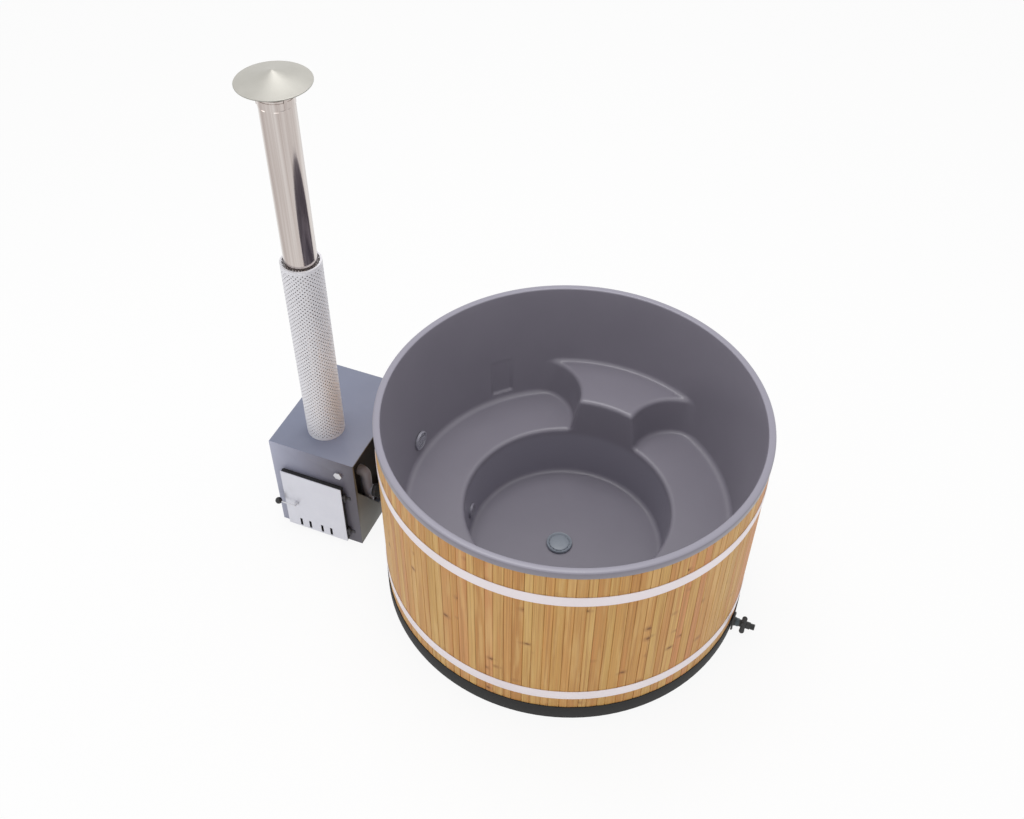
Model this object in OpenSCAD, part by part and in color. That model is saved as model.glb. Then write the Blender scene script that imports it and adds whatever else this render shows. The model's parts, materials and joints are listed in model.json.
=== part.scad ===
// Round wooden hot tub with a moulded insert and an outside wood-burning stove.
// Millimetres, +Z up. The origin is the middle of the tub where it meets the ground,
// the stove stands towards -X and the drain valve points towards +X.

/* [Tub shell] */
// Radius over the corners of the cladding boards
tub_r = 900; // [894:1:905]
// Height of the rim above the ground
rim_z = 1100; // [1080:5:1140]
// Height of the black plinth ring
base_h = 88; // [84:1:94]
// How far the plinth stands out past the boards
base_proud = 4; // [2:1:8]
// Thickness of the plinth ring
base_t = 28; // [24:1:30]
// Number of cladding boards
board_n = 65; // [60:1:70]
// Thickness of a board
board_t = 20; // [16:1:20]
// Gap between neighbouring boards
board_gap = 0.4; // [0.3:0.1:0.8]
// Place of a board's middle groove, as a share of its width
groove_share = 0.57; // [0.45:0.01:0.6]
// Width of a board's middle groove
groove_w = 4; // [2:0.5:5]
// Width of a hoop
hoop_w = 59; // [45:1:70]
// Thickness of a hoop
hoop_t = 2.5; // [2:0.5:4]
// Middle of the lower hoop above the ground
hoop_low_z = 191; // [170:1:220]
// Middle of the upper hoop above the ground
hoop_high_z = 909; // [860:1:940]
// Direction of the hoop locks, at the back
lock_az = 75; // [60:1:100]

/* [Insert] */
// Width of the rim, from the corners of the boards in to the mouth
rim_w = 32; // [32:1:36]
// How far the insert's wall leans in between the mouth and the bench
wall_lean = 69; // [66:1:72]
// Wall of the moulding
insert_t = 8; // [6:1:8]
// Height of the rim's outer lip
lip_h = 37; // [30:1:44]
// Height of the bench
bench_z = 455; // [440:5:470]
// Height of the raised seat
seat_z = 656; // [630:2:680]
// Height of the footwell floor
floor_z = 155; // [150:1:165]
// Width of the bench, from the wall to the footwell
bench_w = 294; // [288:1:304]
// How far the footwell's wall leans in between the bench and the floor
foot_lean = 15; // [8:1:22]
// Middle direction of the raised seat
seat_az = 88.4; // [85:0.1:95]
// Angle from the seat's middle to the middle of each rounded bench end
seat_half = 39; // [36:0.5:42]
// Radius of a bench end at bench height
end_low_r = 212; // [204:1:220]
// Radius of a bench end at seat height
end_high_r = 246; // [238:1:254]
// Rounding between the wall and the bench
wall_cove = 30; // [24:1:40]
// Rounding between the wall and the raised seat
seat_cove = 22; // [16:1:30]
// Rounding of the bench and seat edges
edge_round = 22; // [18:1:28]
// Rounding around the footwell floor
floor_cove = 20; // [16:1:28]
// Direction of the hand recess in the wall
niche_az = 135.5; // [132:0.1:139]
// Width of the hand recess
niche_w = 113; // [90:1:130]
// Depth of the hand recess at its ledge
niche_d = 12; // [8:1:18]
// Height of the hand recess's ledge
niche_z = 500; // [494:1:512]
// Height at which the hand recess runs out
niche_top_z = 700; // [670:5:730]

/* [Frame under the insert] */
// Width of a joist or leg
timber_w = 45; // [36:1:48]
// Depth of a leg
timber_d = 70; // [60:1:80]
// Spacing of the joists
joist_step = 330; // [300:5:340]
// Distance of the middle joist behind the tub's middle, clear of the drain
joist_off = 60; // [50:1:100]
// Thickness of the floor panel
panel_t = 18; // [12:1:21]
// Distance of the bench legs behind the bench's edge
leg_back = 147; // [130:1:165]
// Number of bench legs
leg_n = 6; // [4:1:6]

/* [Water fittings] */
// Direction of the hot water inlet
hot_az = 177.5; // [176.5:0.5:178]
// Distance of the hot water inlet below the top of the stove
hot_down = 47; // [46:1:59]
// Direction of the cold water outlet
cold_az = 187.1; // [185:0.1:189]
// Height of the cold water outlet
cold_z = 250; // [245:1:270]
// Outer radius of the pipe tails
tail_r = 28; // [24:0.5:28]
// Wall of the pipe tails
tail_t = 3; // [2:0.5:4]
// Wall of the rubber hoses
hose_t = 5; // [3:0.5:6]
// Radius of the wall grilles
grille_r = 50; // [45:1:52]
// Thickness of the wall grilles
grille_t = 10; // [8:1:14]
// Drain centre from the tub's middle, towards the valve
drain_x = -23; // [-40:1:20]
// Drain centre from the tub's middle, towards the back
drain_y = -21; // [-28:1:-12]
// Valve centre line from the tub's middle, towards the back
valve_y = -66; // [-72:1:-50]
// Radius of the domed drain cover
cover_r = 65; // [58:1:70]
// Height of the waste pipe above the ground
waste_z = 52; // [48:1:56]
// Outer radius of the waste pipe
waste_r = 25; // [20:0.5:25]
// Radius of the flange on the plinth
flange_r = 46; // [44:1:48]
// Distance from the flange to the valve stem
stem_out = 55; // [52:1:60]
// Turn of the valve's stem from upright, towards the front
stem_turn = 45; // [40:1:90]
// Half length of the butterfly handle
wing_l = 46; // [36:1:46]
// Outer radius of the drain outlet
outlet_r = 16; // [15:0.5:18]

/* [Stove] */
// Gap between the boards and the stove
stove_gap = 114; // [110:1:125]
// Width of the stove, away from the tub
stove_w = 467; // [460:1:500]
// Depth of the stove
stove_d = 624; // [600:1:660]
// Height of the stove
stove_h = 595; // [580:1:620]
// Front face of the stove, towards the front
stove_front = 295; // [290:1:300]
// Thickness of the casing sheet
sheet_t = 2; // [1.5:0.5:2.5]
// Free space beside the water jacket for the pipes
bay_w = 68; // [68:1:72]
// Free space between the water jacket and the casing's far side
jacket_side = 47; // [39:1:51]
// Free space between the water jacket and the casing's back
jacket_back = 98; // [88:1:128]
// Underside of the water jacket
jacket_z = 34; // [30:1:38]
// Free space between the water jacket and the casing's top
jacket_down = 15; // [11:1:31]
// Plate thickness of the jacket and firebox
plate_t = 4; // [3:0.5:5]
// Water space around the firebox
water_gap = 24; // [20:1:26]
// Height of the grate above the firebox floor
grate_up = 56; // [50:1:70]
// Distance from the front panel to the jacket
throat_l = 14; // [13:0.5:16]
// Distance of the filler plug from the tub side of the stove
plug_a = 86; // [85:1:92]
// Distance of the filler plug below the top of the stove
plug_down = 92; // [80:1:100]
// Lower edge of the side panel's opening
side_cut_z = 103; // [98:1:120]
// Height at which the opening's slanted edge starts
side_slant_z = 383; // [360:1:400]
// Distance behind the front at which the slanted edge ends
side_slant_b = 209; // [190:1:220]
// Distance behind the front at which the opening ends
side_cut_b = 430; // [410:1:460]

/* [Stove door] */
// Distance of the door's free edge from the far side of the stove
door_side = 55; // [51:1:63]
// Distance of the door's upper edge below the top of the stove
door_down = 171; // [167:1:177]
// Lower edge of the door plate
door_z = 22; // [20:1:24]
// How far the door plate stands out from the front
door_proud = 30; // [28:1:34]
// Thickness of the door plate
door_t = 4; // [3:0.5:5]
// How far the door's edge lies from the tub side
door_a = 68; // [68:1:70]
// Border of the dark tray inside the plate's edge
tray_in = 2; // [1:1:9]
// Width of an air slit
slit_w = 14; // [10:1:16]
// Height of an air slit
slit_h = 54; // [44:1:58]
// Radius of a hinge knuckle
knuckle_r = 8; // [7:0.5:8]
// Radius of a hinge pin
pin_r = 4; // [3.5:0.5:4.5]
// Running clearance around pins and spindles
run_gap = 0.05; // [0.03:0.01:0.1]
// Length of the latch lever
lever_l = 95; // [85:1:100]
// Radius of the lever's ball
ball_r = 18; // [14:0.5:18]

/* [Chimney] */
// Distance of the chimney from the tub side of the stove
flue_a = 247; // [240:1:254]
// Distance of the chimney behind the front face
flue_b = 193; // [185:1:200]
// Outer radius of the flue pipe
flue_r = 75; // [73:0.5:77]
// Wall of the flue pipe
flue_t = 2; // [1.5:0.5:2.5]
// Top of the flue pipe
flue_top_z = 2462; // [2300:10:2500]
// Joint between the two flue lengths
flue_joint_z = 1560; // [1450:10:1640]
// Outer radius of the perforated guard
guard_r = 93.5; // [92:0.5:96]
// Top of the perforated guard
guard_top_z = 1650; // [1560:10:1700]
// Radius of the rain cap
cap_r = 155; // [140:1:165]
// Gap between the flue top and the cap's rim
cap_gap = 48; // [40:1:60]
// Height of the rain cap's cone
cap_h = 50; // [40:1:60]

/* [Hidden] */
$fn = 144;

// small seating gap between pieces that rest on each other
seat_gap = 0.3;
// how far a cut runs past the face it opens
over = 1;
// steps in a quarter of a rounded edge of the moulding
arc_n = 5;

// tub shell
board_pitch = 360 / board_n;
board_half = board_pitch / 2;
board_in_r = tub_r - board_t;
board_top_z = rim_z - lip_h;
board_z = base_h;
board_chamfer = 2.5;
groove_depth = 3;
tongue_t = 6;
tongue_l = 7;
tongue_gap = 0.2;
hoop_in_r = tub_r + 0.2;
hoop_out_r = hoop_in_r + hoop_t;
base_out_r = tub_r + base_proud;
base_in_r = base_out_r - base_t;
lock_gap = 24;
lug_out = 26;
lug_t = 5;
lock_bolt_r = 5;
lock_head_r = 9.8;
lock_head_h = 7;
lock_nut_h = 8;
// how far a lock bolt runs past the second lug
lock_end = 14;

// insert
mouth_r = tub_r - rim_w;
bench_wall_r = mouth_r - wall_lean;
foot_top_r = bench_wall_r - bench_w;
foot_floor_r = foot_top_r - foot_lean;
lip_r = tub_r + 2;
lip_t = 8;
rim_round = 7;
wall_slope = (mouth_r - bench_wall_r) / (rim_z - bench_z);
foot_slope = (foot_top_r - foot_floor_r) / (bench_z - floor_z);
end_slope = (end_high_r - end_low_r) / (seat_z - bench_z);
// how far the rounded bench ends lie in from the middle of the bench
bench_end_in = 36;
end_ring_r = (foot_top_r + bench_wall_r) / 2 - bench_end_in;
function wall_r(z) = bench_wall_r + (z - bench_z) * wall_slope;
function foot_r(z) = foot_top_r + (z - bench_z) * foot_slope;
function end_r(z) = end_low_r + (z - bench_z) * end_slope;
// an arc of points around c from angle a0 to a1
function arc(c, r, a0, a1, n = arc_n) =
    [for (i = [0:n]) c + r * [cos(a0 + (a1 - a0) * i / n), sin(a0 + (a1 - a0) * i / n)]];

// how far the recess's cut reaches into the water space
niche_reach = 70;

// frame
panel_top_z = base_h + panel_t;
bench_under_z = bench_z - insert_t - seat_gap;
seat_under_z = seat_z - insert_t - seat_gap;
foot_under_z = floor_z - insert_t;
leg_az = 155;
leg_step = 50;
leg_r = foot_top_r + leg_back;
seat_leg_r = leg_r + 30;
// the seat's legs stand clear of the rounded bench ends
leg_gap = 6;
seat_leg_y = end_ring_r * sin(seat_half) - end_r(seat_z) - insert_t - timber_w / 2 - leg_gap;
seat_leg_turn = asin(seat_leg_y / seat_leg_r);
// how far the floor panel and the foam keep in from what is round them
panel_in = 2;
foam_in = 10;
foam_down = 20;

// fittings
hot_z = stove_h - hot_down;
union_nut_h = 12;
union_nut_r = 42;
union_seat_in = 1;
hot_seat_r = wall_r(hot_z) + union_seat_in;
cold_seat_r = foot_r(cold_z) + union_seat_in;
// wall fittings: direction, height, radius of the seat, radius of the grille
hot = [hot_az, hot_z, hot_seat_r, grille_r];
cold = [cold_az, cold_z, cold_seat_r, grille_r - 10];
pocket_deep = 60;
pocket_rim = 6;
union_t = 4;
pad_out = insert_t + 4;
wall_hole_r = tail_r + 3;
hole_past = 20;
tail_end_r = tub_r + 45;
hose_start_r = tub_r + 12;
hose_in_r = tail_r + 0.1;
hose_out_r = hose_in_r + hose_t;
clamp_w = 12;
clamp_t = 1.6;

// stove: a runs away from the tub, b runs back from the front face
near_x = -(tub_r + stove_gap);
far_x = near_x - stove_w;
front_y = -stove_front;
back_y = front_y + stove_d;
function sx(a) = near_x - a;
function sy(b) = front_y + b;

plug_z = stove_h - plug_down;
plug_r = 12.5;
plug_head = 12;
// strip left along the edges of the side panel
cut_edge = 10;
// jacket feet: side, and distance in from the jacket's edge
foot_side = 40;
foot_in = 20;
// grate and ash pan
grate_t = 12;
grate_rim = 20;
grate_slot = 10;
grate_n = 12;
grate_ledge = 12;
grate_ledge_t = 8;
pan_side = 14;
pan_t = 2;
pan_under = 12;

jacket_a = bay_w;
jacket_b = sheet_t + throat_l;
jacket_w = stove_w - bay_w - jacket_side;
jacket_l = stove_d - jacket_b - jacket_back;
jacket_h = stove_h - jacket_z - jacket_down;
jacket_top_z = jacket_z + jacket_h;
door_w = stove_w - door_a - door_side;
door_h = stove_h - door_z - door_down;
liner_in = water_gap + 2 * plate_t;
mouth_a = jacket_a + liner_in;
mouth_w = jacket_w - 2 * liner_in;
grate_pitch = (mouth_w - 2 * grate_rim) / grate_n;
mouth_z = jacket_z + liner_in - 2;
top_water = 116;
mouth_h = jacket_h - liner_in - top_water + 2;
liner_l = jacket_l - 2 * plate_t - 40;
hole_a = door_a + 17;
hole_w = door_w - 34;
hole_z = door_z + 18;
hole_h = door_h - 32;
throat_top_z = hole_z + hole_h + 40;
throat_t = 6;
throat_a = jacket_a + 2;
throat_w = jacket_w - 4;
throat_z = jacket_z + 2;
// the riser stands midway between the side panel and the jacket
riser_a = (sheet_t + bay_w) / 2 - 2.5;
riser_r = -sx(riser_a) / cos(cold_az - 180);
riser_b = stove_front - riser_r * sin(cold_az - 180);
riser_down = 82;
riser_low_z = cold_z - riser_down;
riser_stub = 36;
riser_bend = tail_r + 2;
riser_top_down = 210;
riser_top_z = stove_h - riser_top_down;
hot_jacket_r = -sx(jacket_a) / cos(180 - hot_az);
stub_l = 44;
hot_hose_end_r = hot_jacket_r - 8;
cold_hose_end_r = riser_r - tail_r - 6;

// door
door_mid_a = door_a + door_w / 2;
// air slits: distances from their middle line, its distance from the middle of the plate
// towards the free edge, and their height over the plate's lower edge
slit_near = 35;
slit_far = 88;
slit_off = 8;
slit_up = 9;
hinge_a = door_a - knuckle_r;
hinge_in = 70;
hinge_low_z = door_z + hinge_in;
hinge_high_z = door_z + door_h - hinge_in;
knuckle_h = 22;
knuckle_gap = 0.3;
leaf_t = 3;
leaf_l = 30;
web_t = 8;
lap_t = 3.5;
lap_in = 1;
// the knuckle just sinks into the lap on the back of the plate
hinge_b = door_t + lap_t - 0.5 + knuckle_r - door_proud;
pin_head_r = pin_r + 2;
pin_head_h = 3;
seal_in = 4;
seal_w = 9;
tray_t = 21;
seal_t = door_proud - door_t - tray_t;
pivot_in = 67;
pivot_up = 183;
pivot_a = door_a + door_w - pivot_in;
pivot_z = door_z + pivot_up;
spindle_r = 6;
tongue_len = 62;
tongue_w = 14;
latch_t = 6;
// the lever's arm lies this far in front of the plate
arm_out = ball_r + 2;
lever_r = 4;
spindle_in = 10;
hub_r = 11;
hub_h = 8;

// chimney
flue_x = sx(flue_a);
flue_y = sy(flue_b);
flue_in_r = flue_r - flue_t;
flue_foot_z = stove_h + 2;
collar_r = flue_in_r - 0.4;
guard_t = 2;
cap_rim_z = flue_top_z + cap_gap;
cap_t = 2;
bracket_n = 3;
collar_t = 3;
collar_up = 60;
sleeve_l = 80;
spacer_w = 12;
spacer_h = 16;
spacer_in = 60;
band_down = 40;
band_h = 30;
band_t = 2;
strip_w = 14;
strip_t = 2.4;

// drain
waste_bend = waste_r + 8;
waste_t = 2;
drain_lip = 12;
drain_lip_t = 4;
drain_low_z = panel_top_z + 8;

// valve
flange_x = base_out_r + seat_gap;
flange_t = 8;
stem_x = flange_x + stem_out;
valve_r = 18;
nut_af = 40;
stem_r = 5;
handle_gap = 5;
handle_t = 6;
handle_hub_r = 12;
handle_hub_h = 3;
wing_r = 13;
wing_end = 14;
wing_web = 16;
screw_r = 2.6;
screw_in = 9;
boss_h = 7;
outlet_l = 22;
outlet_end_x = stem_x + wing_l + 9;
bore_r = 11;
ball_seat_r = 15;

// places a child on the radial line at az and height z, with its +Z outwards
module on_radius(az, z) {
    rotate([0, 0, az]) translate([0, 0, z]) rotate([0, 90, 0]) children();
}

// places a child on a wall fitting's seat, with its +Z outwards
module at_fitting(f) {
    on_radius(f[0], f[1]) translate([0, 0, f[2]]) children();
}

// a tube standing on z = 0
module tube(r_out, r_in, h) {
    difference() {
        cylinder(r = r_out, h = h);
        translate([0, 0, -over]) cylinder(r = r_in, h = h + 2 * over);
    }
}

// a block between two stove coordinates
module stove_block(a, b, z) {
    translate([sx(a[1]), sy(b[0]), z[0]]) cube([a[1] - a[0], b[1] - b[0], z[1] - z[0]]);
}

// ---- insert ----

// centre of a rounding of radius r between a floor at z and the sloping wall
function cove_centre(z, r) = [wall_r(z) + r * wall_slope - r * sqrt(1 + pow(wall_slope, 2)), z + r];

// height at which that rounding, grown by g, meets the wall
function cove_top(z, r, g) = z + r - (r + g) * sin(atan(wall_slope));

// outline of the space above a seat or bench at height z, grown by g
function shelf_outline(z, cove, top, g) = concat(
    [[0, z - edge_round], [foot_r(z) - 2, z - edge_round]],
    arc([foot_r(z) + edge_round, z - edge_round], edge_round - g, 180, 90),
    arc(cove_centre(z, cove), cove + g, -90, -atan(wall_slope)),
    [[wall_r(top) + g, top], [0, top]]
);

// the water space of the insert, grown outwards by g
module water_space(g) {
    // above the raised seat
    rotate_extrude() polygon(shelf_outline(seat_z, seat_cove, rim_z + (g == 0 ? over : 0), g));
    // above the bench, up to where the seat's rounding meets the wall
    intersection() {
        rotate_extrude() polygon(shelf_outline(bench_z, wall_cove, cove_top(seat_z, seat_cove, g), g));
        bench_plan(g);
    }
    // footwell
    rotate_extrude() polygon(concat(
        [[0, floor_z - g]],
        arc([foot_floor_r - floor_cove, floor_z + floor_cove], floor_cove + g, -90, 0),
        [[foot_r(seat_z - edge_round) + g, seat_z - edge_round / 2], [0, seat_z - edge_round / 2]]
    ));
    niche(g);
}

// plan of the bench: an open ring with two rounded ends
module bench_plan(g) {
    low = bench_z - edge_round - over;
    high = seat_z + seat_cove + over;
    far = 2 * tub_r;
    translate([0, 0, low]) linear_extrude(high - low) polygon(concat(
        [[0, 0]],
        [for (i = [0:6]) far * [
            cos(seat_az + seat_half + i * (360 - 2 * seat_half) / 6),
            sin(seat_az + seat_half + i * (360 - 2 * seat_half) / 6)]]
    ));
    for (side = [-1, 1]) rotate([0, 0, seat_az + side * seat_half])
        translate([end_ring_r, 0, low])
            cylinder(r1 = end_r(low) + g, r2 = end_r(high) + g, h = high - low);
}

// hand recess in the wall, deepest at its ledge
module niche(g) {
    in_r = wall_r(niche_z) - niche_reach;
    rotate([0, 0, niche_az]) translate([0, niche_w / 2 + g, 0]) rotate([90, 0, 0])
        linear_extrude(niche_w + 2 * g) polygon([
            [in_r, niche_z - g],
            [wall_r(niche_z) + niche_d + g, niche_z - g],
            [wall_r(niche_top_z) + g - 0.5, niche_top_z + g],
            [in_r, niche_top_z + g]
        ]);
}

// rolled rim around the mouth, resting on the boards
module rim() {
    rotate_extrude() polygon(concat(
        [[mouth_r, rim_z - lip_h / 2]],
        arc([mouth_r + rim_round, rim_z - rim_round], rim_round, 180, 90, 3),
        arc([lip_r - rim_round, rim_z - rim_round], rim_round, 90, 0, 3),
        [[lip_r, board_top_z], [lip_r - lip_t, board_top_z],
         [lip_r - lip_t, rim_z - lip_t], [mouth_r + insert_t - 1, rim_z - lip_t],
         [mouth_r + insert_t - 1, rim_z - lip_h / 2]]
    ));
}

module tub_insert() {
    color([0.43, 0.42, 0.46]) difference() {
        union() {
            difference() {
                water_space(insert_t);
                translate([0, 0, rim_z - lip_h / 2]) cylinder(r = 2 * tub_r, h = rim_z);
            }
            rim();
            for (f = [hot, cold]) at_fitting(f) translate([0, 0, -pocket_deep])
                cylinder(r = f[3] + pocket_rim, h = pocket_deep + pad_out);
        }
        water_space(0);
        for (f = [hot, cold]) at_fitting(f) {
            translate([0, 0, -pocket_deep - over]) cylinder(r = f[3] + 1, h = pocket_deep + over);
            translate([0, 0, -over]) cylinder(r = tail_r + seat_gap, h = pad_out + 2 * over);
        }
        translate([drain_x, drain_y, 0]) cylinder(r = tail_r + 2 + seat_gap, h = bench_z);
    }
}

// ---- cladding ----

// point beside a board's edge: s is the side, r the radius, t the distance past the joint
function edge_pt(s, r, t) =
    [r * cos(board_half) - t * sin(board_half), s * (r * sin(board_half) + t * cos(board_half))];

module board() {
    g = board_gap / 2;
    mid_r = tub_r - board_t / 2;
    slot_t = tongue_t / 2 + tongue_gap;
    groove_y = (groove_share - 0.5) * 2 * tub_r * sin(board_half);
    face_x = edge_pt(1, tub_r, -g - board_chamfer)[0];
    translate([0, 0, board_z]) linear_extrude(board_top_z - board_z) polygon([
        edge_pt(-1, board_in_r, -g),
        edge_pt(-1, mid_r - slot_t, -g),
        edge_pt(-1, mid_r - slot_t, -g - tongue_l - 0.5),
        edge_pt(-1, mid_r + slot_t, -g - tongue_l - 0.5),
        edge_pt(-1, mid_r + slot_t, -g),
        edge_pt(-1, tub_r - board_chamfer, -g),
        edge_pt(-1, tub_r, -g - board_chamfer),
        [face_x, groove_y - groove_w / 2],
        [face_x - groove_depth, groove_y],
        [face_x, groove_y + groove_w / 2],
        edge_pt(1, tub_r, -g - board_chamfer),
        edge_pt(1, tub_r - board_chamfer, -g),
        edge_pt(1, mid_r + tongue_t / 2, -g),
        edge_pt(1, mid_r + tongue_t / 2, tongue_l),
        edge_pt(1, mid_r - tongue_t / 2, tongue_l),
        edge_pt(1, mid_r - tongue_t / 2, -g),
        edge_pt(1, board_in_r, -g)
    ]);
}

module cladding_boards() {
    color([0.76, 0.6, 0.36]) difference() {
        for (i = [0:board_n - 1]) rotate([0, 0, i * board_pitch]) board();
        for (f = [hot, cold]) on_radius(f[0], f[1]) translate([0, 0, board_in_r - hole_past])
            cylinder(r = wall_hole_r, h = board_t + 2 * hole_past);
    }
}

// ---- hoops ----

// places a child at the hoop lock, x outwards, y along the hoop
module at_lock(z) {
    rotate([0, 0, lock_az]) translate([0, 0, z]) children();
}

// split band whose two lugs are drawn together by a bolt
module hoop(z) {
    lug_y = lock_gap / 2 + lug_t / 2;
    color([0.86, 0.85, 0.86]) at_lock(z) difference() {
        union() {
            translate([0, 0, -hoop_w / 2]) tube(hoop_out_r, hoop_in_r, hoop_w);
            for (s = [-1, 1]) translate([hoop_in_r + 1, s * lug_y - lug_t / 2, -hoop_w / 2])
                cube([lug_out, lug_t, hoop_w]);
        }
        translate([board_in_r, -lock_gap / 2, -hoop_w])
            cube([board_t + 2 * lug_out, lock_gap, 2 * hoop_w]);
        translate([hoop_out_r + lug_out / 2, 0, 0]) rotate([90, 0, 0])
            cylinder(r = lock_bolt_r + seat_gap, h = 4 * lock_gap, center = true, $fn = 48);
    }
}

module upper_hoop() { hoop(hoop_high_z); }
module lower_hoop() { hoop(hoop_low_z); }

module hoop_bolts() {
    shank = lock_gap + 2 * lug_t + lock_end;
    color("silver") for (z = [hoop_low_z, hoop_high_z]) at_lock(z)
        translate([hoop_out_r + lug_out / 2, lock_gap / 2 + lug_t, 0]) rotate([90, 0, 0]) {
            translate([0, 0, -lock_head_h]) cylinder(r = lock_head_r, h = lock_head_h, $fn = 6);
            translate([0, 0, -over]) cylinder(r = lock_bolt_r, h = shank + over, $fn = 48);
        }
}

module hoop_nuts() {
    color("silver") for (z = [hoop_low_z, hoop_high_z]) at_lock(z)
        translate([hoop_out_r + lug_out / 2, -lock_gap / 2 - lug_t, 0]) rotate([90, 0, 0])
            difference() {
                cylinder(r = lock_head_r, h = lock_nut_h, $fn = 6);
                translate([0, 0, -over]) cylinder(r = lock_bolt_r + 0.1, h = lock_nut_h + 2 * over, $fn = 48);
            }
}

// ---- frame under the insert ----

module base_ring() {
    color([0.2, 0.2, 0.2]) difference() {
        tube(base_out_r, base_in_r, base_h);
        translate([base_in_r - hole_past, valve_y, waste_z]) rotate([0, 90, 0])
            cylinder(r = waste_r + 2, h = base_t + 2 * hole_past);
    }
}

module base_joists() {
    color([0.7, 0.56, 0.38]) for (i = [-2:2]) {
        y = joist_off + i * joist_step;
        reach = sqrt(pow(base_in_r, 2) - pow(abs(y) + timber_w / 2, 2)) - over;
        translate([-reach, y - timber_w / 2, 0]) cube([2 * reach, timber_w, base_h]);
    }
}

module floor_panel() {
    color([0.72, 0.6, 0.42]) translate([0, 0, base_h]) difference() {
        cylinder(r = board_in_r - panel_in, h = panel_t);
        translate([drain_x, drain_y, -over]) cylinder(r = tail_r + 6, h = panel_t + 2 * over);
    }
}

module footwell_pad() {
    color([0.75, 0.78, 0.8]) translate([0, 0, panel_top_z]) difference() {
        cylinder(r = foot_floor_r - foam_in, h = foot_under_z - panel_top_z - seat_gap);
        translate([drain_x, drain_y, -over]) cylinder(r = union_nut_r + 6, h = floor_z);
    }
}

// foam between the boards and the insert
module wall_insulation() {
    low = panel_top_z + seat_gap;
    high = board_top_z - foam_down;
    gap = insert_t + 0.5;
    color([0.8, 0.8, 0.72]) difference() {
        rotate_extrude() polygon([
            [wall_r(low) + gap, low], [board_in_r - panel_in, low],
            [board_in_r - panel_in, high], [wall_r(high) + gap, high]]);
        niche(gap);
        on_radius(hot_az, hot_z) cylinder(r = grille_r + foam_in, h = tub_r);
        on_radius(cold_az, cold_z) cylinder(r = wall_hole_r + 2, h = tub_r);
    }
}

module leg(az, r, top_z) {
    rotate([0, 0, az]) translate([r - timber_d / 2, -timber_w / 2, panel_top_z])
        cube([timber_d, timber_w, top_z - panel_top_z]);
}

module bench_legs() {
    color([0.74, 0.58, 0.4]) for (i = [0:leg_n - 1]) leg(leg_az + i * leg_step, leg_r, bench_under_z);
}

module seat_legs() {
    color([0.74, 0.58, 0.4]) for (s = [-1, 1]) leg(seat_az + s * seat_leg_turn, seat_leg_r, seat_under_z);
}

// ---- water fittings in the wall ----

// slotted round grille in front of the union's flange, its face towards -Z
module grille(r) {
    slot_step = r / 5;
    bevel = 3;
    difference() {
        union() {
            translate([0, 0, bevel - grille_t]) cylinder(r = r, h = grille_t - bevel - union_t);
            translate([0, 0, -grille_t]) cylinder(r1 = r - 5, r2 = r, h = bevel);
        }
        for (i = [-3:3]) {
            half = sqrt(pow(r - 8, 2) - pow(i * slot_step, 2));
            translate([i * slot_step - 2, -half, -grille_t - over])
                cube([4, 2 * half, grille_t + 2 * over]);
        }
    }
}

// threaded tail with its flange under the grille
module wall_union(r, len) {
    difference() {
        union() {
            translate([0, 0, -union_t]) cylinder(r = r, h = union_t);
            cylinder(r = tail_r, h = len);
        }
        translate([0, 0, -union_t - over]) cylinder(r = tail_r - tail_t, h = len + union_t + 2 * over);
    }
}

module hot_grille() {
    color([0.6, 0.6, 0.64]) at_fitting(hot) grille(hot[3]);
}

module hot_union() {
    color([0.5, 0.5, 0.54]) at_fitting(hot) wall_union(hot[3] - 2, tail_end_r - hot[2]);
}

module cold_grille() {
    color([0.6, 0.6, 0.64]) at_fitting(cold) grille(cold[3]);
}

module cold_union() {
    color([0.5, 0.5, 0.54]) at_fitting(cold) wall_union(cold[3] - 2, tail_end_r - cold[2]);
}

module union_nut(r_in) {
    difference() {
        cylinder(r = union_nut_r, h = union_nut_h, $fn = 8);
        translate([0, 0, -over]) cylinder(r = r_in, h = union_nut_h + 2 * over);
    }
}

module union_nuts() {
    color([0.3, 0.3, 0.32]) {
        for (f = [hot, cold]) at_fitting(f) translate([0, 0, pad_out]) union_nut(tail_r + 0.1);
        translate([drain_x, drain_y, foot_under_z - union_nut_h]) union_nut(tail_r + 2.1);
    }
}

module hot_hose() {
    color([0.12, 0.12, 0.12]) on_radius(hot_az, hot_z) translate([0, 0, hose_start_r])
        tube(hose_out_r, hose_in_r, hot_hose_end_r - hose_start_r);
}

module cold_hose() {
    color([0.12, 0.12, 0.12]) on_radius(cold_az, cold_z) translate([0, 0, hose_start_r])
        tube(hose_out_r, hose_in_r, cold_hose_end_r - hose_start_r);
}

// worm-drive band with its screw housing
module clamp() {
    difference() {
        union() {
            cylinder(r = hose_out_r + 0.1 + clamp_t, h = clamp_w);
            translate([hose_out_r - 1, -8, 1]) cube([8, 16, clamp_w - 2]);
        }
        translate([0, 0, -over]) cylinder(r = hose_out_r + 0.1, h = clamp_w + 2 * over);
    }
}

module hose_clamps() {
    color("silver") {
        on_radius(hot_az, hot_z) for (r = [hose_start_r + 6, hot_hose_end_r - clamp_w - 8])
            translate([0, 0, r]) clamp();
        on_radius(cold_az, cold_z) for (r = [hose_start_r + 6, cold_hose_end_r - clamp_w - 6])
            translate([0, 0, r]) clamp();
    }
}

// upright pipe in the stove's side bay with its top bend into the jacket
module riser_shape(r, floor_up, past) {
    bend_z = riser_top_z - riser_bend;
    translate([sx(riser_a), sy(riser_b), 0]) {
        translate([0, 0, riser_low_z + floor_up]) cylinder(r = r, h = bend_z - riser_low_z - floor_up);
        translate([-riser_bend, 0, bend_z]) rotate([90, 0, 0])
            rotate_extrude(angle = 90) translate([riser_bend, 0]) circle(r = r);
        translate([-riser_bend, 0, riser_top_z]) rotate([0, -90, 0])
            cylinder(r = r, h = jacket_a - riser_a - riser_bend + past);
    }
}

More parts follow.
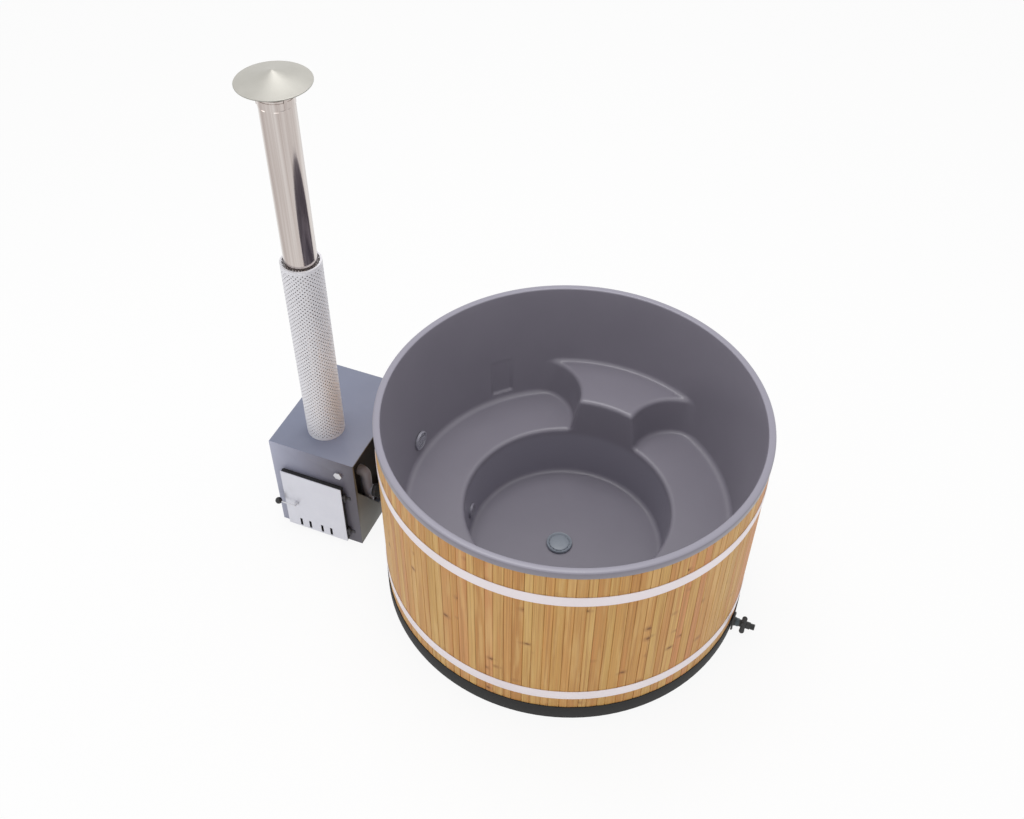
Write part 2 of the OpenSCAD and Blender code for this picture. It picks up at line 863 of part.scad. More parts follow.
module cold_riser() {
    color([0.55, 0.54, 0.58]) difference() {
        union() {
            riser_shape(tail_r, 0, 0);
            on_radius(cold_az, cold_z) translate([0, 0, riser_r - tail_r - riser_stub])
                cylinder(r = tail_r, h = riser_stub + tail_r / 2);
        }
        riser_shape(tail_r - tail_t, 4, over);
        on_radius(cold_az, cold_z) translate([0, 0, riser_r - tail_r - riser_stub - over])
            cylinder(r = tail_r - tail_t - 0.5, h = riser_stub + over + tail_r);
    }
}

// ---- drain and valve ----

module drain_cover() {
    dome_h = 14;
    dome_r = (pow(cover_r, 2) + pow(dome_h, 2)) / (2 * dome_h);
    color([0.42, 0.48, 0.54]) translate([drain_x, drain_y, floor_z + drain_lip_t]) difference() {
        intersection() {
            cylinder(r = cover_r, h = dome_h + 6);
            translate([0, 0, dome_h + 3 - dome_r]) sphere(r = dome_r);
        }
        for (i = [0:11]) rotate([0, 0, i * 30]) translate([cover_r * 0.42, -2, -over])
            cube([cover_r * 0.4, 4, dome_h + 10]);
        translate([0, 0, -over]) cylinder(r = tail_r, h = over + 4);
    }
}

module drain_body() {
    color([0.35, 0.36, 0.4]) translate([drain_x, drain_y, 0]) difference() {
        union() {
            translate([0, 0, floor_z]) cylinder(r = cover_r - drain_lip, h = drain_lip_t);
            translate([0, 0, drain_low_z]) cylinder(r = tail_r + 2, h = floor_z - drain_low_z);
        }
        cylinder(r = waste_r + 0.2, h = floor_z + 10);
    }
}

// pipe from the drain down and along to the flange
module waste_run(r, past) {
    turn = atan2(valve_y - drain_y, flange_x - drain_x);
    // the slanted end stays just clear of the flange
    run_l = (flange_x - drain_x) / cos(turn) - waste_r * tan(abs(turn)) - seat_gap;
    translate([drain_x, drain_y, 0]) rotate([0, 0, turn]) {
        translate([0, 0, waste_z + waste_bend])
            cylinder(r = r, h = foot_under_z - 30 - waste_z - waste_bend + past);
        translate([waste_bend, 0, waste_z + waste_bend]) rotate([90, 0, 0])
            rotate_extrude(angle = 90, start = 180) translate([waste_bend, 0]) circle(r = r);
        translate([waste_bend, 0, waste_z]) rotate([0, 90, 0])
            cylinder(r = r, h = run_l - waste_bend + past);
    }
}

module waste_pipe() {
    color([0.45, 0.45, 0.47]) difference() {
        waste_run(waste_r, 0);
        waste_run(waste_r - waste_t, over);
    }
}

// places a child on the valve's line at x, with its +Z towards the outlet
module on_waste(x) {
    translate([x, valve_y, waste_z]) rotate([0, 90, 0]) children();
}

// places a child on the valve's stem, with its +Z outwards
module on_stem() {
    translate([stem_x, valve_y, waste_z]) rotate([stem_turn, 0, 0]) children();
}

module wall_flange() {
    color([0.12, 0.12, 0.12]) on_waste(flange_x) difference() {
        union() {
            cylinder(r = flange_r, h = flange_t);
            translate([0, 0, flange_t - over]) cylinder(r = valve_r + handle_gap - over, h = boss_h + over);
        }
        translate([0, 0, -over]) cylinder(r = bore_r, h = 40);
        for (i = [0:3]) rotate([0, 0, 45 + 90 * i]) translate([flange_r - screw_in, 0, -over])
            cylinder(r = screw_r, h = flange_t + 2 * over, $fn = 24);
    }
}

module valve_body() {
    start = flange_x + flange_t + boss_h;
    nut_h = 16;
    color([0.25, 0.27, 0.28]) difference() {
        union() {
            on_waste(start) cylinder(r = nut_af / 2 / cos(30), h = nut_h, $fn = 6);
            on_waste(start + nut_h - over)
                cylinder(r = valve_r, h = outlet_end_x - outlet_l - start - nut_h + over);
            on_waste(outlet_end_x - outlet_l - over) cylinder(r = outlet_r, h = outlet_l + over);
            on_stem() cylinder(r = stem_r + 4, h = valve_r + 3);
        }
        on_waste(start - over) cylinder(r = bore_r, h = outlet_end_x - start + 2 * over);
        on_waste(stem_x - ball_seat_r) cylinder(r = ball_seat_r + run_gap, h = 2 * ball_seat_r);
        on_stem() cylinder(r = stem_r + run_gap, h = valve_r + 10);
    }
}

module valve_ball() {
    color([0.8, 0.8, 0.82]) difference() {
        union() {
            on_stem() sphere(r = ball_seat_r, $fn = 64);
            on_stem() cylinder(r = stem_r, h = valve_r + handle_gap);
        }
        on_stem() rotate([90, 0, 0]) cylinder(r = bore_r - 1, h = 40, center = true);
    }
}

// butterfly handle, across the pipe while the valve is shut
module valve_handle() {
    color([0.14, 0.14, 0.14]) on_stem() translate([0, 0, valve_r + handle_gap]) {
        cylinder(r = handle_hub_r, h = handle_t + handle_hub_h);
        for (s = [-1, 1]) {
            translate([0, s * (wing_l - wing_end), 0]) cylinder(r = wing_r, h = handle_t);
            translate([-wing_web / 2, s > 0 ? 0 : -wing_l + wing_end, 0])
                cube([wing_web, wing_l - wing_end, handle_t]);
        }
    }
}

// ---- stove casing ----

module casing_front() {
    color([0.36, 0.37, 0.42]) difference() {
        stove_block([0, stove_w], [0, sheet_t], [0, stove_h]);
        stove_block([hole_a, hole_a + hole_w], [-over, sheet_t + over], [hole_z, hole_z + hole_h]);
        plug_place() cylinder(r = plug_r + 1, h = 20, center = true);
    }
}

module casing_wrap() {
    z = [sheet_t, stove_h - sheet_t];
    color([0.3, 0.31, 0.35]) {
        stove_block([stove_w - sheet_t, stove_w], [sheet_t, stove_d], z);
        stove_block([sheet_t, stove_w], [stove_d - sheet_t, stove_d], z);
    }
}

// side panel towards the tub, cut away on a slant where the pipes pass
module casing_side() {
    high = stove_h - cut_edge;
    cut = [[cut_edge, high], [2 * cut_edge, side_slant_z], [side_slant_b, side_cut_z],
        [side_cut_b, side_cut_z], [side_cut_b, high]];
    color([0.33, 0.33, 0.33]) difference() {
        stove_block([0, sheet_t], [sheet_t, stove_d - sheet_t], [sheet_t, stove_h - sheet_t]);
        translate([near_x - sheet_t - over, 0, 0]) rotate([90, 0, 90])
            linear_extrude(sheet_t + 2 * over) polygon([for (p = cut) [sy(p[0]), p[1]]]);
    }
}

module casing_top() {
    color([0.45, 0.47, 0.53]) difference() {
        stove_block([0, stove_w], [sheet_t, stove_d], [stove_h - sheet_t, stove_h]);
        translate([flue_x, flue_y, stove_h - 10]) cylinder(r = flue_r + 1, h = 20);
    }
}

module casing_floor() {
    color([0.3, 0.31, 0.35])
        stove_block([0, stove_w], [sheet_t, stove_d], [0, sheet_t]);
}

// ---- water jacket and firebox ----

// stub on the jacket's side that carries the hot hose
module hot_stub(r, past) {
    on_radius(hot_az, hot_z) translate([0, 0, hot_jacket_r - stub_l - past])
        cylinder(r = r, h = stub_l + plate_t + 2 * past);
}

module water_jacket() {
    b = jacket_b + plate_t;
    color([0.5, 0.5, 0.52]) difference() {
        union() {
            difference() {
                stove_block([jacket_a, jacket_a + jacket_w], [b, jacket_b + jacket_l],
                    [jacket_z, jacket_top_z]);
                stove_block([jacket_a + plate_t, jacket_a + jacket_w - plate_t],
                    [b - over, jacket_b + jacket_l - plate_t], [jacket_z + plate_t, jacket_top_z - plate_t]);
            }
            hot_stub(tail_r, 0);
        }
        hot_stub(tail_r - tail_t, over);
        translate([flue_x, flue_y, jacket_z + 60]) cylinder(r = flue_in_r + 1, h = jacket_h);
        translate([sx(jacket_a) + over, sy(riser_b), riser_top_z]) rotate([0, -90, 0])
            cylinder(r = tail_r - tail_t, h = plate_t + 2 * over);
    }
}

module jacket_feet() {
    far_a = jacket_a + jacket_w - foot_in - foot_side;
    far_b = jacket_b + jacket_l - 2 * foot_in - foot_side;
    color([0.3, 0.3, 0.3]) for (a = [jacket_a + foot_in, far_a], b = [jacket_b + 2 * foot_in, far_b])
        stove_block([a, a + foot_side], [b, b + foot_side], [sheet_t, jacket_z]);
}

module firebox_liner() {
    b0 = jacket_b;
    ledge = [mouth_z + grate_up - grate_ledge_t, mouth_z + grate_up];
    color([0.32, 0.3, 0.3]) difference() {
        union() {
            stove_block([jacket_a, jacket_a + jacket_w], [b0, b0 + plate_t], [jacket_z, jacket_top_z]);
            stove_block([mouth_a - plate_t, mouth_a + mouth_w + plate_t], [b0, b0 + liner_l],
                [mouth_z - plate_t, mouth_z + mouth_h + plate_t]);
        }
        difference() {
            stove_block([mouth_a, mouth_a + mouth_w], [b0 - over, b0 + liner_l - plate_t],
                [mouth_z, mouth_z + mouth_h]);
            for (a = [mouth_a - over, mouth_a + mouth_w - grate_ledge])
                stove_block([a, a + grate_ledge + over], [b0 + grate_rim, b0 + liner_l], ledge);
        }
        translate([flue_x, flue_y, mouth_z + mouth_h / 2]) cylinder(r = collar_r + 0.2, h = mouth_h);
        plug_place() cylinder(r = plug_r + 0.1, h = 60, center = true);
    }
}

module throat_frame() {
    color([0.3, 0.3, 0.3]) difference() {
        stove_block([throat_a, throat_a + throat_w], [sheet_t, jacket_b], [throat_z, throat_top_z]);
        stove_block([throat_a + throat_t, throat_a + throat_w - throat_t], [0, jacket_b + over],
            [throat_z + throat_t / 2, throat_top_z - throat_t]);
    }
}

module grate() {
    color([0.25, 0.25, 0.25]) difference() {
        stove_block([mouth_a + 3, mouth_a + mouth_w - 3], [jacket_b + 24, jacket_b + liner_l - 10],
            [mouth_z + grate_up, mouth_z + grate_up + grate_t]);
        for (i = [0:grate_n - 1]) {
            a = mouth_a + grate_rim + (i + 0.5) * grate_pitch;
            stove_block([a - grate_slot / 2, a + grate_slot / 2],
                [jacket_b + 50, jacket_b + liner_l - 40], [mouth_z, mouth_z + mouth_h]);
        }
    }
}

module ash_pan() {
    low = mouth_z + seat_gap;
    a = [mouth_a + pan_side, mouth_a + mouth_w - pan_side];
    b = [jacket_b + 10, jacket_b + liner_l - 60];
    color([0.4, 0.4, 0.4]) difference() {
        stove_block(a, b, [low, low + grate_up - pan_under]);
        stove_block([a[0] + pan_t, a[1] - pan_t], [b[0] + pan_t, b[1] - pan_t],
            [low + pan_t, low + grate_up]);
    }
}

// filler plug of the jacket, beside the door
module plug_place() {
    translate([sx(plug_a), front_y, plug_z]) rotate([90, 0, 0]) children();
}

module jacket_plug() {
    color([0.85, 0.85, 0.87]) plug_place() {
        cylinder(r = nut_af / 2 / cos(30), h = plug_head, $fn = 6);
        translate([0, 0, -jacket_b - plate_t - 4]) cylinder(r = plug_r, h = jacket_b + plate_t + 4 + over);
    }
}

// ---- door ----

module slits(b) {
    for (side = [-1, 1], out = [slit_near, slit_far]) {
        a = door_mid_a + slit_off + side * out;
        stove_block([a - slit_w / 2, a + slit_w / 2], b, [door_z + slit_up, door_z + slit_up + slit_h]);
    }
}

// places a child on the latch spindle, with its +Z towards the front
module on_spindle(b) {
    translate([sx(pivot_a), sy(b), pivot_z]) rotate([90, 0, 0]) children();
}

module door_plate() {
    color([0.82, 0.82, 0.85]) difference() {
        stove_block([door_a, door_a + door_w], [-door_proud, -door_proud + door_t], [door_z, door_z + door_h]);
        slits([-door_proud - over, 0]);
        on_spindle(0) cylinder(r = spindle_r + run_gap, h = door_proud + over);
    }
}

module door_tray() {
    color([0.1, 0.1, 0.1]) difference() {
        stove_block([door_a + tray_in, door_a + door_w - tray_in],
            [-door_proud + door_t, -door_proud + door_t + tray_t],
            [door_z + tray_in, door_z + door_h - tray_in]);
        slits([-door_proud, 0]);
        on_spindle(0) cylinder(r = spindle_r + run_gap, h = door_proud + over);
    }
}

module door_seal() {
    b = [-seal_t, -seat_gap];
    m = tray_in + seal_in;
    color([0.2, 0.2, 0.2]) difference() {
        stove_block([door_a + m, door_a + door_w - m], b, [door_z + m - 2, door_z + door_h - m]);
        stove_block([door_a + m + seal_w, door_a + door_w - m - seal_w], [-seal_t - over, over],
            [door_z + m + seal_w - seal_in, door_z + door_h - m - seal_w]);
    }
}

module at_hinges() {
    for (z = [hinge_low_z, hinge_high_z]) translate([sx(hinge_a), sy(hinge_b), z]) children();
}

// knuckles welded to the back of the door plate
module door_knuckles() {
    color([0.7, 0.7, 0.72]) at_hinges() difference() {
        union() {
            translate([0, 0, knuckle_gap]) cylinder(r = knuckle_r, h = knuckle_h);
            translate([-knuckle_r - tray_in + lap_in, -door_proud + door_t - hinge_b, knuckle_gap])
                cube([knuckle_r + tray_in - lap_in, lap_t, knuckle_h]);
        }
        translate([0, 0, -over]) cylinder(r = pin_r + run_gap, h = knuckle_h + 3);
    }
}

module hinge_brackets() {
    color([0.35, 0.35, 0.38]) at_hinges() difference() {
        union() {
            translate([0, 0, -knuckle_h]) cylinder(r = knuckle_r, h = knuckle_h);
            translate([-web_t / 2, 0, -knuckle_h]) cube([web_t, -hinge_b, knuckle_h]);
            translate([-web_t / 2, -hinge_b - leaf_t, -knuckle_h]) cube([leaf_l, leaf_t, knuckle_h]);
        }
        translate([0, 0, -knuckle_h - over]) cylinder(r = pin_r, h = knuckle_h + 3);
    }
}

module hinge_pins() {
    color("silver") at_hinges() {
        translate([0, 0, -knuckle_h]) cylinder(r = pin_r, h = 2 * knuckle_h + knuckle_gap + 2);
        translate([0, 0, knuckle_h + 2 * knuckle_gap]) cylinder(r = pin_head_r, h = pin_head_h);
    }
}

// places a child on the lever's arm, with its +Z towards the free edge
module on_arm() {
    translate([sx(pivot_a), sy(-door_proud - arm_out), pivot_z]) rotate([0, -90, 0]) children();
}

// lever lying across the plate towards the free edge
module latch_lever() {
    color([0.75, 0.75, 0.77]) {
        on_spindle(0) translate([0, 0, -spindle_in])
            cylinder(r = spindle_r, h = spindle_in + door_proud + arm_out + lever_r + over);
        on_spindle(0) translate([0, 0, door_proud + 0.5]) cylinder(r = hub_r, h = hub_h);
        on_arm() cylinder(r = lever_r, h = lever_l);
    }
}

module latch_ball() {
    color([0.08, 0.08, 0.08]) on_arm() difference() {
        translate([0, 0, lever_l]) sphere(r = ball_r, $fn = 96);
        cylinder(r = lever_r + seat_gap, h = lever_l + seat_gap);
    }
}

module latch_tongue() {
    color([0.5, 0.5, 0.5]) difference() {
        translate([sx(pivot_a) - tongue_w / 2, sy(sheet_t + 1.5), pivot_z - 12])
            cube([tongue_w, latch_t, tongue_len + 12]);
        on_spindle(0) cylinder(r = spindle_r, h = 60, center = true);
    }
}

// ---- chimney ----

module at_flue(z) {
    translate([flue_x, flue_y, z]) children();
}

module flue_collar() {
    low = mouth_z + mouth_h - 2;
    color([0.6, 0.6, 0.62]) at_flue(low) tube(collar_r, collar_r - collar_t, stove_h + collar_up - low);
}

module flue_lower() {
    color([0.75, 0.73, 0.73]) at_flue(flue_foot_z) tube(flue_r, flue_in_r, flue_joint_z - flue_foot_z);
}

module flue_sleeve() {
    color([0.6, 0.6, 0.62]) at_flue(flue_joint_z - sleeve_l / 2)
        tube(flue_in_r - 0.2, flue_in_r - flue_t, sleeve_l);
}

module flue_upper() {
    color([0.78, 0.76, 0.76]) at_flue(flue_joint_z) tube(flue_r, flue_in_r, flue_top_z - flue_joint_z);
}

module flue_guard() {
    color([0.8, 0.8, 0.82]) at_flue(stove_h) tube(guard_r, guard_r - guard_t, guard_top_z - stove_h);
}

module guard_spacers() {
    gap = guard_r - guard_t - flue_r;
    color([0.7, 0.7, 0.7]) for (z = [stove_h + spacer_in, guard_top_z - spacer_in]) at_flue(z)
        for (i = [0:2]) rotate([0, 0, 30 + 120 * i])
            translate([flue_r + seat_gap, -spacer_w / 2, 0])
                cube([gap - 2 * seat_gap - 0.4, spacer_w, spacer_h]);
}

// band around the flue top with the strips that carry the cap
module cap_collar() {
    band_z = flue_top_z - band_down;
    strip_in = flue_r + band_t - 0.2;
    strip_top = cap_rim_z + cap_h * (1 - (strip_in + strip_t) / cap_r) - cap_t - seat_gap;
    color([0.6, 0.6, 0.6]) at_flue(0) {
        translate([0, 0, band_z]) tube(flue_r + 0.2 + band_t, flue_r + 0.2, band_h);
        for (i = [0:bracket_n - 1]) rotate([0, 0, 90 + 360 / bracket_n * i])
            translate([strip_in, -strip_w / 2, band_z]) cube([strip_t, strip_w, strip_top - band_z]);
    }
}

module rain_cap() {
    slope = cap_h / cap_r;
    color([0.78, 0.77, 0.74]) at_flue(0) rotate_extrude() polygon([
        [0, cap_rim_z + cap_h - cap_t], [cap_r, cap_rim_z - cap_t], [cap_r, cap_rim_z],
        [4, cap_rim_z + cap_h - 4 * slope], [0, cap_rim_z + cap_h - 1]
    ]);
}

tub_insert();
cladding_boards();
upper_hoop();
lower_hoop();
hoop_bolts();
hoop_nuts();
base_ring();
base_joists();
floor_panel();
footwell_pad();
wall_insulation();
bench_legs();
seat_legs();
hot_grille();
hot_union();
cold_grille();
cold_union();
union_nuts();
hot_hose();
cold_hose();
hose_clamps();
cold_riser();
drain_cover();
drain_body();
waste_pipe();
wall_flange();
valve_body();
valve_ball();
valve_handle();
casing_front();
casing_wrap();
casing_side();
casing_top();
casing_floor();
water_jacket();
jacket_feet();
firebox_liner();
throat_frame();
grate();
ash_pan();
jacket_plug();
door_plate();
door_tray();
door_seal();
door_knuckles();
hinge_brackets();
hinge_pins();
latch_lever();
latch_ball();
latch_tongue();
flue_collar();
flue_lower();
flue_sleeve();
flue_upper();
flue_guard();
guard_spacers();
cap_collar();
rain_cap();
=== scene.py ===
import json
import math

import bmesh
import bpy
import numpy as np
from mathutils import Matrix, Vector

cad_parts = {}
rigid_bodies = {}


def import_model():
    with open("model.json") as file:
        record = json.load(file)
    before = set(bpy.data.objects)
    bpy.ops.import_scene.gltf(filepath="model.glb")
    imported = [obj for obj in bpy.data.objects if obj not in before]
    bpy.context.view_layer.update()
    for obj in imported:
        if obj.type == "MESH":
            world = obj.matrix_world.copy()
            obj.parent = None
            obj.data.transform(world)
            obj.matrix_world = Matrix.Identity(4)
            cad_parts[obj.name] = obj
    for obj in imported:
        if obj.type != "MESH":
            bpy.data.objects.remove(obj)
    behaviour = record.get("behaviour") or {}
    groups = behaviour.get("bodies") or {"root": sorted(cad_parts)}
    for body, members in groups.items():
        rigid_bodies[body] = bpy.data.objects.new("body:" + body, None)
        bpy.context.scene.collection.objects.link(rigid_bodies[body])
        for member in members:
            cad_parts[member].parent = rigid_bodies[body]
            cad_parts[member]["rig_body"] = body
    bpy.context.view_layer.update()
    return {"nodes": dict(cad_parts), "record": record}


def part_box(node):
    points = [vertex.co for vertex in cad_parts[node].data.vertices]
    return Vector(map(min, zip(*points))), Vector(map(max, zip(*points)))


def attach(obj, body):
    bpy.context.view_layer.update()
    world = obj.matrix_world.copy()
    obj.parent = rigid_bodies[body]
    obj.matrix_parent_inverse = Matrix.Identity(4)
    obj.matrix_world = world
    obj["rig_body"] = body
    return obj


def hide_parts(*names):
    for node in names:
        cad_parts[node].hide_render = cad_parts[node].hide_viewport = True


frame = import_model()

nodes = frame["nodes"]
slotOf = {part["node"]: part["material_slot"] for part in frame["record"]["subparts"]}


# a screen colour, 0 to 255, as the linear values that a shader takes
def srgb(r, g, b):
    parts = [c / 255 for c in (r, g, b)]
    return tuple(c / 12.92 if c <= 0.04045 else ((c + 0.055) / 1.055) ** 2.4 for c in parts) + (1,)


def centreOf(node):
    low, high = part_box(node)
    return (low + high) / 2


# box, middle and radius of an upright round node
def roundBox(node):
    low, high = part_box(node)
    return low, high, (low + high) / 2, (high.x - low.x) / 2


def addObject(name, data):
    made = bpy.data.objects.new(name, data)
    bpy.context.scene.collection.objects.link(made)
    return made


# camera, found from the rim's ellipse, the hoops and the stove's edges
view = {
    "place": (1.0511, -3.4481, 4.7217),
    "turn": 21.373,
    "tilt": 44.827,
    "roll": 0.776,
    "lens": 39.914,
    "sensor": 36,
    "farClip": 100,
}


def addCamera():
    camera = addObject("camera", bpy.data.cameras.new("camera"))
    camera.data.lens = view["lens"]
    camera.data.sensor_width = view["sensor"]
    camera.data.clip_end = view["farClip"]
    aim = (Matrix.Rotation(math.radians(view["turn"]), 4, "Z")
           @ Matrix.Rotation(math.radians(view["tilt"]), 4, "X")
           @ Matrix.Rotation(math.radians(view["roll"]), 4, "Z"))
    camera.matrix_world = Matrix.Translation(view["place"]) @ aim
    bpy.context.scene.camera = camera


addCamera()
print("camera set")


# a shader socket that sums can be written with
class Sock:
    def __init__(self, finish, socket):
        self.finish = finish
        self.socket = socket

    def maths(self, operation, *values):
        return self.finish.node("Math", {"operation": operation}, dict(enumerate(values)))

    def __add__(self, other):
        return self.maths("ADD", self, other)

    def __radd__(self, other):
        return self.maths("ADD", other, self)

    def __sub__(self, other):
        return self.maths("SUBTRACT", self, other)

    def __rsub__(self, other):
        return self.maths("SUBTRACT", other, self)

    def __mul__(self, other):
        return self.maths("MULTIPLY", self, other)

    def __rmul__(self, other):
        return self.maths("MULTIPLY", other, self)

    def __gt__(self, other):
        return self.maths("GREATER_THAN", self, other)

    def __abs__(self):
        return self.maths("ABSOLUTE", self)

    def floor(self):
        return self.maths("FLOOR", self)

    def sine(self):
        return self.maths("SINE", self)

    def cosine(self):
        return self.maths("COSINE", self)

    def root(self):
        return self.maths("SQRT", self)

    # 0 below low and 1 above high, or the other way round
    def step(self, low, high):
        ends = {"From Min": low, "From Max": high}
        return self.finish.node("MapRange", {"interpolation_type": "SMOOTHSTEP"}, {"Value": self, **ends})


# the nodes of a new material, or of the world
class Finish:
    def __init__(self, name, owner=None):
        self.material = owner or bpy.data.materials.new(name)
        self.material.use_nodes = True
        self.tree = self.material.node_tree
        self.tree.nodes.clear()
        if owner is None:
            self.at = self.node("TexCoord", out="Object")

    def node(self, kind, settings=None, values=None, out=0):
        made = self.tree.nodes.new("ShaderNode" + kind)
        for key, value in (settings or {}).items():
            if key == "stops":
                self.setStops(made.color_ramp, value)
            else:
                setattr(made, key, value)
        for key, value in (values or {}).items():
            if isinstance(value, Sock):
                self.tree.links.new(value.socket, made.inputs[key])
            else:
                made.inputs[key].default_value = value
        return Sock(self, made.outputs[out]) if made.outputs else None

    def setStops(self, ramp, stops):
        while len(ramp.elements) < len(stops):
            ramp.elements.new(0.5)
        for element, (place, color) in zip(ramp.elements, stops):
            element.position = place
            element.color = color

    def split(self, vector):
        made = self.node("SeparateXYZ", {}, {0: vector})
        return [Sock(self, output) for output in made.socket.node.outputs]

    def join(self, x, y, z):
        return self.node("CombineXYZ", {}, {0: x, 1: y, 2: z})

    def stretch(self, x, y, z):
        return self.node("VectorMath", {"operation": "MULTIPLY"}, {0: self.at, 1: (x, y, z)})

    def noise(self, vector, scale, detail=3, rough=0.5):
        return self.node("TexNoise", {}, {
            "Vector": vector, "Scale": scale, "Detail": detail, "Roughness": rough}, "Fac")

    def chance(self, number):
        return self.node("TexWhiteNoise", {"noise_dimensions": "1D"}, {"W": number}, "Value")

    def ramp(self, factor, *stops):
        return self.node("ValToRGB", {"stops": stops}, {0: factor})

    def blend(self, factor, a, b, kind="MIX"):
        settings = {"data_type": "RGBA", "blend_type": kind}
        return self.node("Mix", settings, {0: factor, 6: a, 7: b}, 2)

    # angle about an upright axis through (x, y), in radians, and the height
    def around(self, x, y):
        px, py, pz = self.split(self.at)
        return self.node("Math", {"operation": "ARCTAN2"}, {0: py - y, 1: px - x}), pz

    def close(self, color, rough, metal=0.0, height=None, depth=0.001, strength=0.4, **fixed):
        values = {"Base Color": color, "Roughness": rough, "Metallic": metal}
        values.update({key.replace("_", " "): value for key, value in fixed.items()})
        if height is not None:
            values["Normal"] = self.node("Bump", {}, {
                "Height": height, "Distance": depth, "Strength": strength})
        shader = self.node("BsdfPrincipled", {}, values)
        self.node("OutputMaterial", {}, {"Surface": shader})
        return self.material


plastic = {
    "light": srgb(137, 133, 144),
    "dark": srgb(129, 125, 136),
    # painted light: the paler tone laid on the footwell's walls and the top of the rim
    "pale": srgb(150, 147, 160),
    "paintedLightWellReach": (0.46, 0.50),
    "paintedLightWellTop": (0.45, 0.40),
    "paintedLightWellFoot": (0.15, 0.18),
    "paintedLightWellShare": 0.8,
    "paintedLightRimRise": (1.094, 1.098),
    "grain": 0.0002,
}


# painted light: the footwell's walls and the top of the rim are painted paler than the rest, as if more
# light reached them
def mouldedPlasticPaintedLight():
    f = Finish("mouldedPlasticPaintedLight")
    cloud = f.noise(f.at, 3.0, 4, 0.6)
    fine = f.noise(f.at, 420, 2)
    color = f.blend(cloud, plastic["dark"], plastic["light"])
    x, y, z = f.split(f.at)
    reach = (x * x + y * y).root()
    paintedLightWell = reach.step(*plastic["paintedLightWellReach"]) * z.step(*plastic["paintedLightWellTop"]) * z.step(*plastic["paintedLightWellFoot"])
    # painted light: the footwell's walls and the rim's top take the paler tone
    pale = paintedLightWell * plastic["paintedLightWellShare"] + z.step(*plastic["paintedLightRimRise"])
    color = f.blend(pale, color, plastic["pale"])
    rough = 0.27 + cloud * 0.08 + fine * 0.04
    return f.close(color, rough, 0, fine, plastic["grain"], 0.25)


boards = {
    "count": 65,
    "radius": 0.9,
    "groove": 0.07,
    "tones": [(0.0, srgb(186, 134, 84)), (0.16, srgb(208, 160, 94)), (0.32, srgb(196, 158, 90)),
              (0.48, srgb(210, 172, 108)), (0.62, srgb(190, 140, 78)), (0.8, srgb(204, 162, 94)),
              (1.0, srgb(202, 138, 96))],
    "streak": srgb(170, 122, 68),
    "pale": srgb(222, 188, 128),
    "warm": srgb(206, 142, 86),
    "knot": srgb(112, 74, 42),
    "halo": srgb(156, 104, 58),
    "joint": srgb(124, 86, 50),
    "knotCell": (0.14, 0.085),
    "knotShare": 0.47,
}


def oiledBoards():
    f = Finish("oiledBoards")
    angle, z = f.around(0, 0)
    turn = angle * (boards["count"] / (2 * math.pi))
    number = (turn + 0.5).floor()
    across = turn - number
    strip = number * 2 + (across > boards["groove"])
    own = f.chance(strip + 0.37)
    second = f.chance(strip * 1.7 + 9.1)
    tone = f.ramp(own, *boards["tones"])
    # knots: a few cells of a flat pattern that follows the boards
    width = 2 * math.pi * boards["radius"] / boards["count"]
    cellX, cellZ = boards["knotCell"]
    drift = f.noise(f.join(strip * 2.3, 0, z * 2.5), 1.0, 2) * 2.5
    place = f.join(turn * (width / cellX), z * (1 / cellZ) + own * 7 + drift, own * 3)
    spots = {"voronoi_dimensions": "3D", "feature": "F1"}
    far = f.node("TexVoronoi", spots, {"Vector": place, "Scale": 1.0}, "Distance")
    tint = f.node("TexVoronoi", spots, {"Vector": place, "Scale": 1.0}, "Color")
    chosen = f.split(tint)[0] > boards["knotShare"]
    knot = far.step(0.12, 0.05) * chosen
    halo = far.step(0.30, 0.08) * chosen
    # grain lines run up the board and bend round the knots
    lines = f.join(across * 13 + own * 61 + halo * 0.5, second * 47, z * 1.1)
    grain = f.noise(lines, 1.0, 5, 0.62)
    fine = f.noise(f.join(across * 80, own * 11, z * 7), 1.0, 3, 0.6)
    patch = f.noise(f.join(across * 2.6, own * 31, z * 2.2), 1.0, 3, 0.55)
    color = f.blend(grain.step(0.42, 0.66) * 0.75, tone, boards["streak"])
    color = f.blend(patch.step(0.48, 0.72) * 0.5, color, boards["pale"])
    color = f.blend(grain.step(0.40, 0.26) * 0.6, color, boards["pale"])
    color = f.blend(patch.step(0.46, 0.26) * 0.45, color, boards["warm"])
    color = f.blend(fine * 0.3, color, boards["pale"], "OVERLAY")
    color = f.blend(halo * 0.5, color, boards["halo"])
    color = f.blend(knot * 0.75, color, boards["knot"])
    # joints and middle grooves, dark in places
    worn = f.noise(f.join(strip * 3.7, 0, z * 2.4), 1.0, 2).step(0.44, 0.66)
    edge = abs(across).step(0.472, 0.497)
    middle = abs(across - boards["groove"]).step(0.03, 0.008)
    color = f.blend((edge * 0.45 + middle * 0.35) * (worn * 0.9 + 0.1), color, boards["joint"])
    rough = 0.42 + fine * 0.16 + knot * 0.1
    height = fine * 0.6 + grain * 0.8 - knot * 0.6
    return f.close(color, rough, 0, height, 0.0008, 0.5, Specular_IOR_Level=0.35)


def plainTimber():
    f = Finish("plainTimber")
    lines = f.noise(f.stretch(9, 60, 60), 1.0, 4, 0.6)
    color = f.ramp(lines, (0.25, srgb(150, 112, 70)), (0.6, srgb(196, 160, 112)), (0.9, srgb(172, 132, 84)))
    return f.close(color, 0.6 + lines * 0.15, 0, lines, 0.001, 0.5)


def hoopSteel():
    f = Finish("hoopSteel")
    angle, z = f.around(0, 0)
    brush = f.noise(f.join(angle * 6, 0, z * 900), 1.0, 3, 0.6)
    cloud = f.noise(f.join(angle * 3, 0, z * 4), 1.0)
    color = f.blend(cloud, srgb(226, 216, 220), srgb(241, 234, 237))
    return f.close(color, 0.34 + brush * 0.14, 0.55, brush, 0.0003, 0.3)


